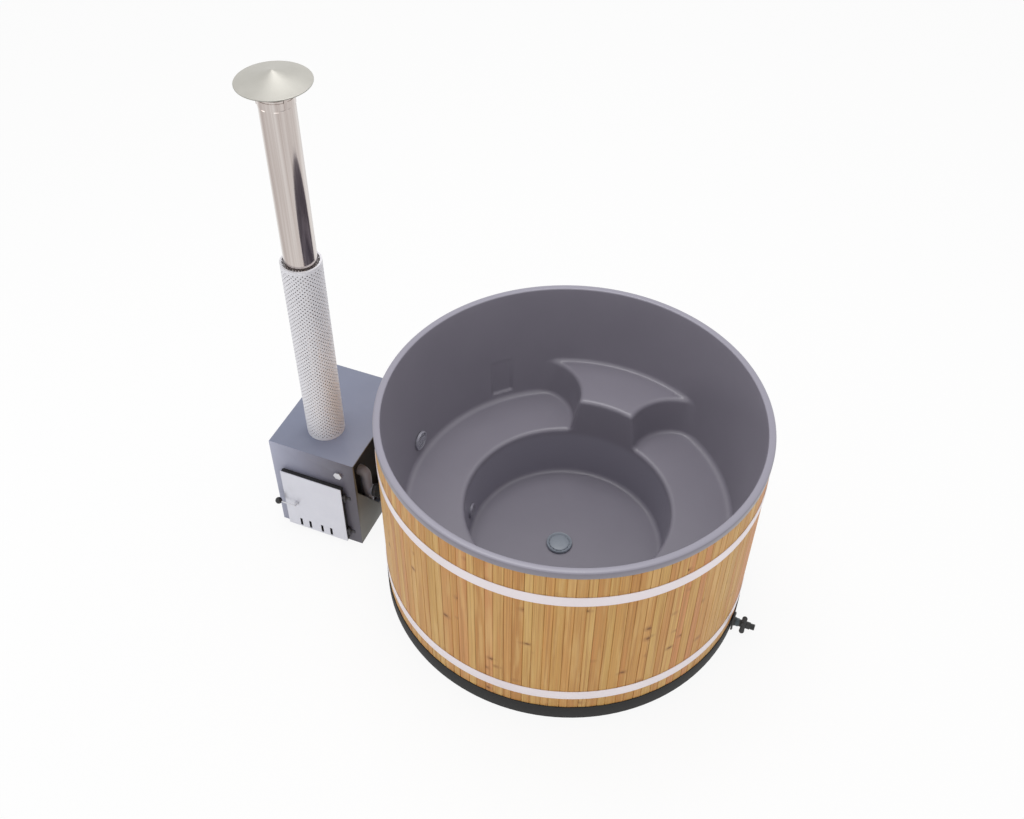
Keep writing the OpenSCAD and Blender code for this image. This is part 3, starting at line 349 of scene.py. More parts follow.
def softBlack(name, dark, light, scale, rough=0.55):
    f = Finish(name)
    cloud = f.noise(f.at, scale, 4, 0.6)
    fine = f.noise(f.at, scale * 40, 2)
    color = f.blend(cloud, dark, light)
    return f.close(color, rough + fine * 0.14, 0, fine, 0.0005, 0.35)


casing = {
    "light": srgb(131, 136, 157),
    "dark": srgb(120, 125, 145),
    # painted light and shade across the stove's front, from lit at the top left to shaded at the hinges
    "paintedLightFrontTones": [(0.0, srgb(176, 179, 199)), (0.35, srgb(142, 144, 164)), (0.7, srgb(114, 113, 127)),
                   (1.0, srgb(90, 87, 98))],
    # painted shade: the side by the tub is painted darker and olive, with a painted reflection of the wood
    # cladding
    "paintedShadeSideLight": srgb(112, 109, 98),
    "paintedShadeSideDark": srgb(98, 96, 88),
    "peel": 700,
}


# closes a coat with the fine peel of baked powder
def coated(f, color, cloud):
    peel = f.noise(f.at, casing["peel"], 2)
    return f.close(color, 0.36 + cloud * 0.1 + peel * 0.05, 0.0, peel, 0.0003, 0.3)


def powderCoat(name, dark, light):
    f = Finish(name)
    cloud = f.noise(f.at, 4, 4, 0.6)
    return coated(f, f.blend(cloud, dark, light), cloud)


# painted light and shade: the front's coat is painted lighter at its top left and darker towards the hinges
# and its foot
def paintedLightFront():
    f = Finish("paintedLightFront")
    low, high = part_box("casing_front")
    x, y, z = f.split(f.at)
    cloud = f.noise(f.at, 5, 3, 0.6)
    # painted light: the share grows towards the hinges and the foot, where the front is painted darker
    share = (x - low.x) * (1 / (high.x - low.x)) + (high.z - z) * 0.35 + (cloud - 0.5) * 0.2
    return coated(f, f.ramp(share, *casing["paintedLightFrontTones"]), cloud)


def brushedSteel(name, dark, light, brushScale, rough, metal=0.9):
    f = Finish(name)
    brush = f.noise(f.stretch(*brushScale), 1.0, 4, 0.65)
    cloud = f.noise(f.at, 9, 4, 0.6)
    color = f.blend(cloud * 0.6 + brush * 0.4, dark, light)
    return f.close(color, rough + brush * 0.16 + cloud * 0.06, metal, brush, 0.0003, 0.3)


flueLooks = {
    # painted reflection: the tones of the bands up the pipe and their darker streaks
    "tones": [(0.3, srgb(158, 144, 138)), (0.5, srgb(196, 186, 181)), (0.7, srgb(224, 218, 214))],
    "paintedStreak": srgb(150, 136, 132),
}


# bright metal with rolled streaks that run up the pipe; the colour bands are painted reflections, and the
# shader adds true reflections over them
def polishedFluePaintedReflection():
    f = Finish("polishedFluePaintedReflection")
    middle = centreOf("flue_upper")
    angle, z = f.around(middle.x, middle.y)
    x = angle.cosine()
    y = angle.sine()
    wide = f.noise(f.join(x * 1.5, y * 1.5, z * 0.22), 1.5, 3, 0.6)
    thin = f.noise(f.join(x * 22, y * 22, z * 0.6), 1.0, 3, 0.6)
    # painted reflection: wide bands of tone up the pipe, and thin darker streaks over them
    color = f.ramp(wide * 0.8 + thin * 0.2, *flueLooks["tones"])
    color = f.blend(thin.step(0.5, 0.8) * 0.3, color, flueLooks["paintedStreak"])
    smear = f.noise(f.join(x * 3, y * 3, z * 9), 1.0, 4, 0.6)
    return f.close(color, 0.07 + thin * 0.06 + smear * 0.05, 1.0, thin, 0.0003, 0.12)


capLooks = {
    "light": srgb(178, 176, 170),
    "dark": srgb(163, 161, 154),
    "streak": srgb(160, 156, 150),
}


def cappedSheet():
    f = Finish("cappedSheet")
    middle = centreOf("rain_cap")
    angle, z = f.around(middle.x, middle.y)
    radial = f.noise(f.join(angle * 18, 0, z * 6), 1.0, 3, 0.6)
    cloud = f.noise(f.at, 14, 3, 0.6)
    color = f.blend(cloud, capLooks["dark"], capLooks["light"])
    color = f.blend(radial * 0.1, color, capLooks["streak"])
    return f.close(color, 0.4 + cloud * 0.1, 0.4, radial, 0.0002, 0.2, Specular_IOR_Level=0.3)


def sootyIron():
    f = Finish("sootyIron")
    cloud = f.noise(f.at, 12, 5, 0.65)
    fine = f.noise(f.at, 260, 3)
    color = f.ramp(cloud, (0.3, srgb(30, 28, 27)), (0.55, srgb(58, 50, 45)), (0.8, srgb(84, 70, 60)))
    return f.close(color, 0.7 + fine * 0.15, 0.4, cloud + fine * 0.4, 0.002, 0.5)


def foamBlock():
    f = Finish("foamBlock")
    cells = f.node("TexVoronoi", {}, {"Vector": f.at, "Scale": 260.0}, "Distance")
    color = f.blend(cells, srgb(206, 200, 178), srgb(228, 224, 206))
    return f.close(color, 0.9, 0, cells, 0.001, 0.6)


def ropeSeal():
    f = Finish("ropeSeal")
    x, y, z = f.split(f.at)
    weave = ((x + z) * 900).sine() * ((x - z) * 900).sine()
    color = f.blend(weave * 0.5 + 0.5, srgb(38, 38, 38), srgb(74, 72, 70))
    return f.close(color, 0.9, 0, weave, 0.001, 0.6)


def mouldedGrey(name, dark, light):
    f = Finish(name)
    cloud = f.noise(f.at, 30, 4, 0.6)
    fine = f.noise(f.at, 700, 2)
    return f.close(f.blend(cloud, dark, light), 0.32 + cloud * 0.14, 0, fine, 0.0003, 0.3)


finishes = {
    # painted light on the footwell's walls and the rim's top
    "insert_plastic": mouldedPlasticPaintedLight(),
    "cladding_wood": oiledBoards(),
    "hoop_steel": hoopSteel(),
    "plinth_black": softBlack("plinthBlack", srgb(22, 21, 21), srgb(30, 29, 28), 6, 0.7),
    "frame_timber": plainTimber(),
    "foam": foamBlock(),
    "fitting_grey": mouldedGrey("fittingGrey", srgb(150, 149, 160), srgb(172, 171, 182)),
    "drain_blue_grey": mouldedGrey("drainBlueGrey", srgb(134, 141, 151), srgb(150, 157, 167)),
    "waste_grey": mouldedGrey("wasteGrey", srgb(112, 112, 116), srgb(132, 132, 136)),
    "hose_rubber": softBlack("hoseRubber", srgb(30, 30, 30), srgb(44, 43, 42), 20, 0.7),
    "valve_black": softBlack("valveBlack", srgb(34, 35, 36), srgb(52, 53, 54), 40, 0.38),
    "bright_hardware": brushedSteel("brightHardware", srgb(190, 190, 194), srgb(226, 226, 230),
                                    (60, 60, 400), 0.2),
    "casing_paint": powderCoat("powderCoat", casing["dark"], casing["light"]),
    "jacket_steel": brushedSteel("jacketSteel", srgb(96, 93, 97), srgb(112, 109, 113),
                                 (8, 8, 260), 0.5, 0.25),
    "fire_iron": sootyIron(),
    "door_steel": brushedSteel("doorSteel", srgb(204, 205, 214), srgb(226, 226, 234),
                               (600, 600, 5), 0.3, 0.7),
    "door_black": softBlack("doorBlack", srgb(26, 26, 28), srgb(40, 40, 42), 12, 0.5),
    "rope_seal": ropeSeal(),
    "ball_black": softBlack("ballBlack", srgb(28, 28, 30), srgb(38, 38, 40), 60, 0.16),
    # painted reflection bands on the flue pipe
    "flue_polished": polishedFluePaintedReflection(),
    "guard_steel": brushedSteel("guardSteel", srgb(218, 217, 222), srgb(240, 239, 244),
                                (20, 20, 220), 0.4, 0.15),
    "cap_steel": cappedSheet(),
}
darkIron = softBlack("darkIron", srgb(40, 38, 42), srgb(54, 52, 56), 30, 0.45)
riserGrey = mouldedGrey("riserGrey", srgb(146, 146, 158), srgb(166, 166, 178))
# black for the soot inside the flue pipe, and painted shade in the grilles' openings
sootAndShade = softBlack("sootAndShade", srgb(16, 15, 15), srgb(28, 26, 25), 30, 0.85)
teal = mouldedGrey("tealGrey", srgb(66, 80, 86), srgb(78, 92, 98))
# nodes that look unlike the rest of their slot
ownFinish = {
    # painted light and shade on the stove's front
    "casing_front": paintedLightFront(),
    # painted shade and a painted reflection of the wood cladding on the stove's side
    "casing_side": powderCoat("paintedShadeSideCoat", casing["paintedShadeSideDark"], casing["paintedShadeSideLight"]),
    # painted shade: the water jacket seen through the side opening is painted near black
    "water_jacket": softBlack("jacketPaintedShade", srgb(34, 32, 32), srgb(48, 45, 44), 20, 0.7),
    "hinge_brackets": darkIron,
    "hinge_pins": darkIron,
    "door_knuckles": darkIron,
    "hose_clamps": darkIron,
    "cold_riser": riserGrey,
    "guard_spacers": finishes["guard_steel"],
}


def finishOf(node):
    return ownFinish.get(node) or finishes[slotOf[node]]


for name, piece in nodes.items():
    piece.data.materials.clear()
    piece.data.materials.append(finishOf(name))
print("finishes made:", len(finishes) + len(ownFinish))


def addPiece(name, points, faces, replaced, smooth):
    mesh = bpy.data.meshes.new(name)
    mesh.from_pydata([tuple(p) for p in points], [], [tuple(f) for f in faces])
    return placePiece(name, mesh, replaced, smooth)


# the piece takes the finish and the body of the first node that it stands for
def placePiece(name, mesh, replaced, smooth):
    first = replaced[0]
    mesh.materials.clear()
    mesh.materials.append(finishOf(first))
    mesh.shade_smooth()
    mesh.set_sharp_from_angle(angle=math.radians(smooth))
    piece = addObject(name, mesh)
    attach(piece, nodes[first]["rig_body"])
    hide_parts(*replaced)
    return piece


# gives a second finish to the faces whose middle passes the test
def secondFinish(piece, finish, test):
    piece.data.materials.append(finish)
    for face in piece.data.polygons:
        if test(face.center):
            face.material_index = 1


# several (points, faces) as one
def joined(*shapes):
    points = []
    faces = []
    for shapePoints, shapeFaces in shapes:
        start = len(points)
        points += [tuple(p) for p in shapePoints]
        faces += [tuple(start + i for i in face) for face in shapeFaces]
    return points, faces


def moved(shape, matrix):
    points, faces = shape
    return [matrix @ Vector(p) for p in points], faces


axisGap = 0.0001  # outlines that reach the axis stop this far from it


# a closed outline of (radius, height) turned about the upright axis
def lathe(outline, steps=96):
    count = len(outline)
    points = []
    for i in range(steps):
        c, s = math.cos(2 * math.pi * i / steps), math.sin(2 * math.pi * i / steps)
        points += [(r * c, r * s, z) for r, z in outline]
    faces = []
    for i in range(steps):
        a, b = i * count, (i + 1) % steps * count
        for j in range(count):
            k = (j + 1) % count
            faces.append((a + j, b + j, b + k, a + k))
    return points, faces


# points of an arc from angle a0 to a1, in degrees
def bend(cx, cz, r, a0, a1, steps=5):
    angles = [math.radians(a0 + (a1 - a0) * i / steps) for i in range(steps + 1)]
    return [(cx + r * math.cos(a), cz + r * math.sin(a)) for a in angles]


# a convex outline in the plane with rounded corners, pulled up between two heights
def slab(outline, low, high, ease, steps=3):
    middle = Vector((sum(p[0] for p in outline), sum(p[1] for p in outline))) / len(outline)
    rings = []
    for end, way in ((low, 1), (high, -1)):
        turns = range(steps + 1) if way == 1 else range(steps, -1, -1)
        for i in turns:
            a = math.radians(90 * i / steps)
            inward = ease * (1 - math.sin(a))
            rings.append((inward, end + way * ease * (1 - math.cos(a))))
    points = []
    for inward, z in rings:
        for x, y in outline:
            away = Vector((x, y)) - middle
            reach = away.length
            place = middle + away * ((reach - inward) / reach)
            points.append((place.x, place.y, z))
    n = len(outline)
    faces = [tuple(reversed(range(n))), tuple(range(len(points) - n, len(points)))]
    for k in range(len(rings) - 1):
        for i in range(n):
            j = (i + 1) % n
            faces.append((k * n + i, k * n + j, (k + 1) * n + j, (k + 1) * n + i))
    return points, faces


easing = {
    "weld": 2e-5,
    "level": 0.6,
    "sharpest": 40,
    "segments": 2,
    "profile": 0.6,
    "smooth": 40,
}


# a copy of a CAD node with its hard edges eased, which stands for the node
def easedCopy(node, width):
    mesh = nodes[node].data.copy()
    work = bmesh.new()
    work.from_mesh(mesh)
    bmesh.ops.remove_doubles(work, verts=work.verts, dist=easing["weld"])
    bmesh.ops.dissolve_limit(work, angle_limit=math.radians(easing["level"]),
                             verts=work.verts, edges=work.edges)
    hard = [e for e in work.edges
            if len(e.link_faces) == 2 and e.calc_face_angle(0) > math.radians(easing["sharpest"])]
    bmesh.ops.bevel(work, geom=hard, offset=width, segments=easing["segments"],
                    profile=easing["profile"], affect="EDGES", clamp_overlap=True)
    work.to_mesh(mesh)
    work.free()
    mesh.name = node + "_eased"
    placePiece(node + "_eased", mesh, [node], easing["smooth"])


insert = {
    "rim": 1.100,
    "mouthRadius": 0.868,
    "wallRadius": 0.799,
    "bench": 0.455,
    "seat": 0.656,
    "floor": 0.155,
    "footTop": 0.505,
    "footFloor": 0.490,
    "seatTurn": 88.4,
    "seatHalf": 39.0,
    "endRing": 0.616,
    "endLow": 0.212,
    "endHigh": 0.246,
    "wallCove": 0.026,
    "seatCove": 0.018,
    "floorCove": 0.020,
    "endCove": 0.018,
    "edge": 0.018,
    "thick": 0.008,
    "lip": 0.037,
    "lipThick": 0.008,
    "round": 0.009,
    "lipRound": 0.002,
    "innerRound": 0.004,
    "wallRings": (0.86, 0.95, 1.04),
    "backLow": 0.9,
    "cell": 0.010,
    "netReach": 0.9,
    "netFoot": 0.025,
    "netTop": 0.800,
    "nicheTurn": 135.5,
    "nicheWidth": 0.113,
    "nicheDepth": 0.012,
    "nicheReach": 0.06,
    "nicheLow": 0.500,
    "nicheHigh": 0.700,
    "pockets": {"hot_grille": 0.053, "cold_grille": 0.043},
    "pocketSeat": 0.004,
    "pocketDeep": 0.08,
    "soft": 0.006,
}


# inside both, with a rounding of radius r where they meet
def roundBoth(a, b, r):
    u = np.hypot(np.maximum(r + a, 0), np.maximum(r + b, 0))
    return np.minimum(-r, np.maximum(a, b)) + u


# inside either, with a rounding of radius r where they meet
def roundEither(a, b, r):
    u = np.hypot(np.maximum(r - a, 0), np.maximum(r - b, 0))
    return np.maximum(r, np.minimum(a, b)) - u


def wallRadius(z):
    rise = (insert["mouthRadius"] - insert["wallRadius"]) / (insert["rim"] - insert["bench"])
    return insert["wallRadius"] + (z - insert["bench"]) * rise


def footRadius(z):
    rise = (insert["footTop"] - insert["footFloor"]) / (insert["bench"] - insert["floor"])
    return insert["footTop"] + (z - insert["bench"]) * rise


# a round pocket around a fitting, along the radial line through it
def pocket(x, y, z, node, radius):
    middle = centreOf(node)
    turn = math.atan2(middle.y, middle.x)
    along = x * math.cos(turn) + y * math.sin(turn)
    aside = np.hypot(y * math.cos(turn) - x * math.sin(turn), z - middle.z)
    seat = math.hypot(middle.x, middle.y) + insert["pocketSeat"]
    return np.maximum(aside - radius, np.maximum(along - seat, seat - insert["pocketDeep"] - along))


# hand recess in the wall, deepest at its ledge
def recess(x, y, z):
    turn = math.radians(insert["nicheTurn"])
    along = x * math.cos(turn) + y * math.sin(turn)
    aside = np.abs(y * math.cos(turn) - x * math.sin(turn)) - insert["nicheWidth"] / 2
    share = (insert["nicheHigh"] - z) / (insert["nicheHigh"] - insert["nicheLow"])
    back = wallRadius(z) + insert["nicheDepth"] * np.clip(share, 0, 1)
    hollow = np.maximum(np.maximum(aside, along - back), insert["nicheLow"] - z)
    hollow = np.maximum(hollow, wallRadius(z) - insert["nicheReach"] - along)
    return np.maximum(hollow, z - insert["nicheHigh"])


# plan of the benches: a ring with a gap, and a disc at each end of the gap
def benchPlan(x, y, rise):
    turn = np.degrees(np.arctan2(y, x)) - insert["seatTurn"]
    turn = np.abs((turn + 180) % 360 - 180)
    plan = np.hypot(x, y) * np.sin(np.radians(np.clip(insert["seatHalf"] - turn, -90, 90)))
    endRadius = insert["endLow"] + (insert["endHigh"] - insert["endLow"]) * rise
    for side in (-1, 1):
        end = math.radians(insert["seatTurn"] + side * insert["seatHalf"])
        cx, cy = insert["endRing"] * math.cos(end), insert["endRing"] * math.sin(end)
        plan = np.minimum(plan, np.hypot(x - cx, y - cy) - endRadius)
    return plan


# below zero in the water, above zero in the moulding
def waterField(x, y, z):
    radius = np.hypot(x, y)
    rise = (z - insert["bench"]) / (insert["seat"] - insert["bench"])
    bench = roundBoth(insert["bench"] - z, benchPlan(x, y, rise), insert["endCove"])
    foot = roundBoth(insert["floor"] - z, radius - footRadius(z), insert["floorCove"])
    ground = roundEither(roundEither(insert["seat"] - z, bench, insert["edge"]), foot, insert["edge"])
    cove = insert["wallCove"] + (insert["seatCove"] - insert["wallCove"]) * np.clip(rise, 0, 1)
    water = roundBoth(ground, radius - wallRadius(z), cove)
    water = roundEither(water, recess(x, y, z), insert["soft"])
    for node, wide in insert["pockets"].items():
        water = roundEither(water, pocket(x, y, z, node, wide), insert["soft"])
    return water


def slope(field, points, gap=0.0005):
    parts = []
    for axis in range(3):
        shift = np.zeros(3)
        shift[axis] = gap
        parts.append((field(*(points + shift).T) - field(*(points - shift).T)) / (2 * gap))
    return np.stack(parts, 1)


# moves points onto the surface; held ones keep their height
def pulled(field, points, held, rounds):
    for _ in range(rounds):
        way = slope(field, points)
        way[held, 2] = 0
        size = np.maximum((way ** 2).sum(1), 0.05)
        points = points - way * (field(*points.T) / size)[:, None]
    return points


# one point in each cell that the surface crosses, and a quad around each crossed edge
def netOf(field, low, high, cell):
    axes = [np.arange(low[i], high[i] + cell / 2, cell) for i in range(3)]
    inside = field(*np.meshgrid(*axes, indexing="ij")) < 0
    corners = sum(inside[i:inside.shape[0] - 1 + i, j:inside.shape[1] - 1 + j,
                         k:inside.shape[2] - 1 + k].astype(int)
                  for i in (0, 1) for j in (0, 1) for k in (0, 1))
    crossed = (corners > 0) & (corners < 8)
    number = np.full(crossed.shape, -1)
    number[crossed] = np.arange(crossed.sum())
    cells = np.argwhere(crossed)
    points = np.array(low) + (cells + 0.5) * cell
    quads = []
    for axis in range(3):
        others = [a for a in range(3) if a != axis]
        ends = [slice(None)] * 3
        ends[axis] = slice(0, -1)
        starts = list(ends)
        starts[axis] = slice(1, None)
        change = np.argwhere(inside[tuple(ends)] != inside[tuple(starts)])
        limits = np.array(crossed.shape)
        keep = np.all([(change[:, a] > 0) & (change[:, a] < limits[a]) for a in others], axis=0)
        change = change[keep]
        around = []
        for back in ((1, 1), (0, 1), (0, 0), (1, 0)):
            at = change.copy()
            at[:, others[0]] -= back[0]
            at[:, others[1]] -= back[1]
            around.append(number[tuple(at.T)])
        quads.append(np.stack(around, 1))
    return points, np.concatenate(quads), cells[:, 2] == crossed.shape[2] - 1


# evens out the net, on its surface
def relaxed(field, points, quads, held, rounds=5):
    links = np.concatenate([quads[:, [0, 1]], quads[:, [1, 2]], quads[:, [2, 3]], quads[:, [3, 0]]])
    for _ in range(rounds):
        total = np.zeros_like(points)
        count = np.zeros(len(points))
        for a, b in ((0, 1), (1, 0)):
            np.add.at(total, links[:, a], points[links[:, b]])
            np.add.at(count, links[:, a], 1)
        centre = total / count[:, None]
        centre[held, 2] = points[held, 2]
        points = pulled(field, points * 0.4 + centre * 0.6, held, 2)
    return points


# the open edge of the net, in order and turning left
def edgeLoop(points, quads):
    use = {}
    for quad in quads:
        for i in range(4):
            a, b = int(quad[i]), int(quad[(i + 1) % 4])
            use[(min(a, b), max(a, b))] = use.get((min(a, b), max(a, b)), 0) + 1
    beside = {}
    for (a, b), count in use.items():
        if count == 1:
            beside.setdefault(a, []).append(b)
            beside.setdefault(b, []).append(a)
    loop = [next(iter(beside))]
    loop.append(beside[loop[0]][0])
    while True:
        further = [i for i in beside[loop[-1]] if i != loop[-2]][0]
        if further == loop[0]:
            break
        loop.append(further)
    first, second = points[loop[0]], points[loop[1]]
    return loop if first[0] * second[1] > first[1] * second[0] else loop[::-1]


# outline from the net's edge up the wall, over the rim and its lip, and down behind them
def rimProfile():
    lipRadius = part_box("tub_insert")[1].x
    rim, ease, thin = insert["rim"], insert["round"], insert["lipThick"]
    small, inner = insert["lipRound"], insert["innerRound"]
    foot, under = rim - insert["lip"], rim - thin
    profile = [(wallRadius(z), z) for z in insert["wallRings"]]
    profile += bend(insert["mouthRadius"] + ease, rim - ease, ease, 180, 90, 4)
    profile += bend(lipRadius - ease, rim - ease, ease, 90, 0, 4)
    profile += bend(lipRadius - small, foot + small, small, 0, -90, 2)
    profile += [(lipRadius - thin, foot), (lipRadius - thin, under - inner)]
    profile += [(lipRadius - thin - inner, under)]
    top, low = insert["wallRings"][-1], insert["backLow"]
    return profile + [(wallRadius(top) + thin, under), (wallRadius(low) + thin, low)]


def makeInsert():
    reach = insert["netReach"]
    low, high = (-reach, -reach, insert["floor"] - insert["netFoot"]), (reach, reach, insert["netTop"])
    points, quads, held = netOf(waterField, low, high, insert["cell"])
    # level quads at the cut are dropped, with the points that only they use
    quads = quads[~held[quads].all(1)]
    used, quads = np.unique(quads, return_inverse=True)
    quads = quads.reshape(-1, 4)
    points, held = points[used], held[used]
    points = pulled(waterField, points, held, 4)
    points = relaxed(waterField, points, quads, held)
    # all quads face the water
    across = np.cross(points[quads[:, 2]] - points[quads[:, 0]], points[quads[:, 3]] - points[quads[:, 1]])
    away = slope(waterField, points[quads].mean(1))
    flip = (across * away).sum(1) > 0
    quads[flip] = quads[flip][:, ::-1]
    loop = edgeLoop(points, quads)
    outward = slope(waterField, points)
    outward /= np.linalg.norm(outward, axis=1)[:, None]
    back = points + outward * insert["thick"]
    count = len(points)
    allPoints = [tuple(p) for p in points] + [tuple(p) for p in back]
    faces = [tuple(q) for q in quads] + [tuple(count + i for i in q[::-1]) for q in quads]
    turns = [math.atan2(points[i][1], points[i][0]) for i in loop]
    rings = [loop]
    for radius, z in rimProfile():
        rings.append(list(range(len(allPoints), len(allPoints) + len(loop))))
        allPoints += [(radius * math.cos(t), radius * math.sin(t), z) for t in turns]
    rings.append([count + i for i in loop])
    for lower, upper in zip(rings, rings[1:]):
        for i in range(len(loop)):
            j = (i + 1) % len(loop)
            faces.append((lower[j], lower[i], upper[i], upper[j]))
    piece = addPiece("moulded_insert", allPoints, faces, ["tub_insert"], 60)
    work = bmesh.new()
    work.from_mesh(piece.data)
    bmesh.ops.recalc_face_normals(work, faces=work.faces)
    work.to_mesh(piece.data)
    work.free()


makeInsert()
print("insert made")


# turns a shape built on +Z to point outwards on the radial line through a node
def outwardAt(node, reach):
    middle = centreOf(node)
    turn = math.atan2(middle.y, middle.x)
    place = Matrix.Translation((reach * math.cos(turn), reach * math.sin(turn), middle.z))
    return place @ Matrix.Rotation(turn, 4, "Z") @ Matrix.Rotation(math.radians(90), 4, "Y")


def box3(x0, x1, y0, y1, z0, z1):
    points = [(x, y, z) for x in (x0, x1) for y in (y0, y1) for z in (z0, z1)]
    faces = [(0, 1, 3, 2), (4, 6, 7, 5), (0, 4, 5, 1), (2, 3, 7, 6), (0, 2, 6, 4), (1, 5, 7, 3)]
    return points, faces


grilles = {"hot_grille": (0.050, 4), "cold_grille": (0.040, 5)}  # radius, and number of slats
grille = {
    "seat": 0.003,
    "ring": 0.84,
    "tall": 0.010,
    "outerRound": 0.0025,
    "innerRound": 0.002,
    "slat": 0.24,
    "slatEnd": 0.002,
    "slatRise": (-0.0085, -0.002),
    "barHalf": 0.004,
    "barRise": (-0.0065, -0.001),
    "mouth": 0.0008,
    "mouthLap": 0.001,
}


# ring and slats of a wall grille over a black disc of painted shade, its face towards -Z
def makeGrille(node, radius, slats):
    middle = centreOf(node)
    seat = math.hypot(middle.x, middle.y) + grille["seat"]
    ringIn = radius * grille["ring"]
    outer, inner, tall = grille["outerRound"], grille["innerRound"], grille["tall"]
    outline = bend(radius - outer, outer - tall, outer, -90, 0, 3) + [(radius, 0), (ringIn, 0)]
    outline += bend(ringIn + inner, inner - tall, inner, 180, 270, 3)
    shapes = [lathe(outline, 72)]
    pitch = 2 * ringIn / slats
    slatHalf = pitch * grille["slat"]
    for i in range(slats):
        x = -ringIn + (i + 0.5) * pitch
        half = math.sqrt(max(ringIn ** 2 - x ** 2, 0)) + grille["slatEnd"]
        shapes.append(box3(x - slatHalf, x + slatHalf, -half, half, *grille["slatRise"]))
    shapes.append(box3(-grille["barHalf"], grille["barHalf"], -ringIn, ringIn, *grille["barRise"]))
    # painted shade: a thin black disc behind the slats
    wide, deep = ringIn + grille["mouthLap"], grille["mouth"]
    mouth = lathe([(axisGap, -deep), (wide, -deep), (wide, 0), (axisGap, 0)], 48)
    start = sum(len(shapeFaces) for shapePoints, shapeFaces in shapes)
    points, faces = moved(joined(*shapes, mouth), outwardAt(node, seat))
    piece = addPiece(node + "_face", points, faces, [node], 30)
    # painted shade: the disc behind the slats is black
    piece.data.materials.append(sootAndShade)
    for face in piece.data.polygons[start:]:
        face.material_index = 1


for node, form in grilles.items():
    makeGrille(node, *form)

drain = {
    "slots": 16,
    "columns": 192,
    "bridge": 5,
    "wall": 0.002,
    "tip": 0.71,
    "groove": 6,
    # shares of the cover's radius and height; the slots follow the point that groove counts to
    "outline": [(0.15, 0.70), (0.35, 0.68), (0.55, 0.61), (0.68, 0.53), (0.735, 0.47), (0.75, 0.42),
                (0.755, 0.30), (0.79, 0.30), (0.80, 0.34), (0.88, 0.58), (0.92, 0.68), (0.95, 0.70),
                (0.98, 0.62), (1.0, 0.45), (1.0, 0.0)],
}


# low dome inside a raised ring, with slots in the groove between them
def makeDrain():
    low, high, middle, radius = roundBox("drain_cover")
    top = high.z - low.z
    n = drain["columns"]
    work = bmesh.new()
    tip = work.verts.new((0, 0, top * drain["tip"]))
    grid = []
    for share, height in drain["outline"]:
        r, z = radius * share, top * height
        turns = [2 * math.pi * i / n for i in range(n)]
        grid.append([work.verts.new((r * math.cos(a), r * math.sin(a), z)) for a in turns])
    each = n // drain["slots"]
    for i in range(n):
        j = (i + 1) % n
        work.faces.new((tip, grid[0][i], grid[0][j]))
        for k in range(len(grid) - 1):
            if not (k == drain["groove"] and i % each < each - drain["bridge"]):
                work.faces.new((grid[k][i], grid[k + 1][i], grid[k + 1][j], grid[k][j]))
    bmesh.ops.recalc_face_normals(work, faces=work.faces)
    bmesh.ops.solidify(work, geom=work.faces, thickness=drain["wall"])
    mesh = bpy.data.meshes.new("drain_dome")
    work.to_mesh(mesh)
    work.free()
    mesh.transform(Matrix.Translation((middle.x, middle.y, low.z)))
    placePiece("drain_dome", mesh, ["drain_cover"], 35)


makeDrain()
print("fittings made")

guard = {
    "pitch": 0.0150,
    "hole": 0.0036,
    "wall": 0.0016,
    "border": 0.012,
    "hem": 0.009,
    "hemRound": 0.003,
}


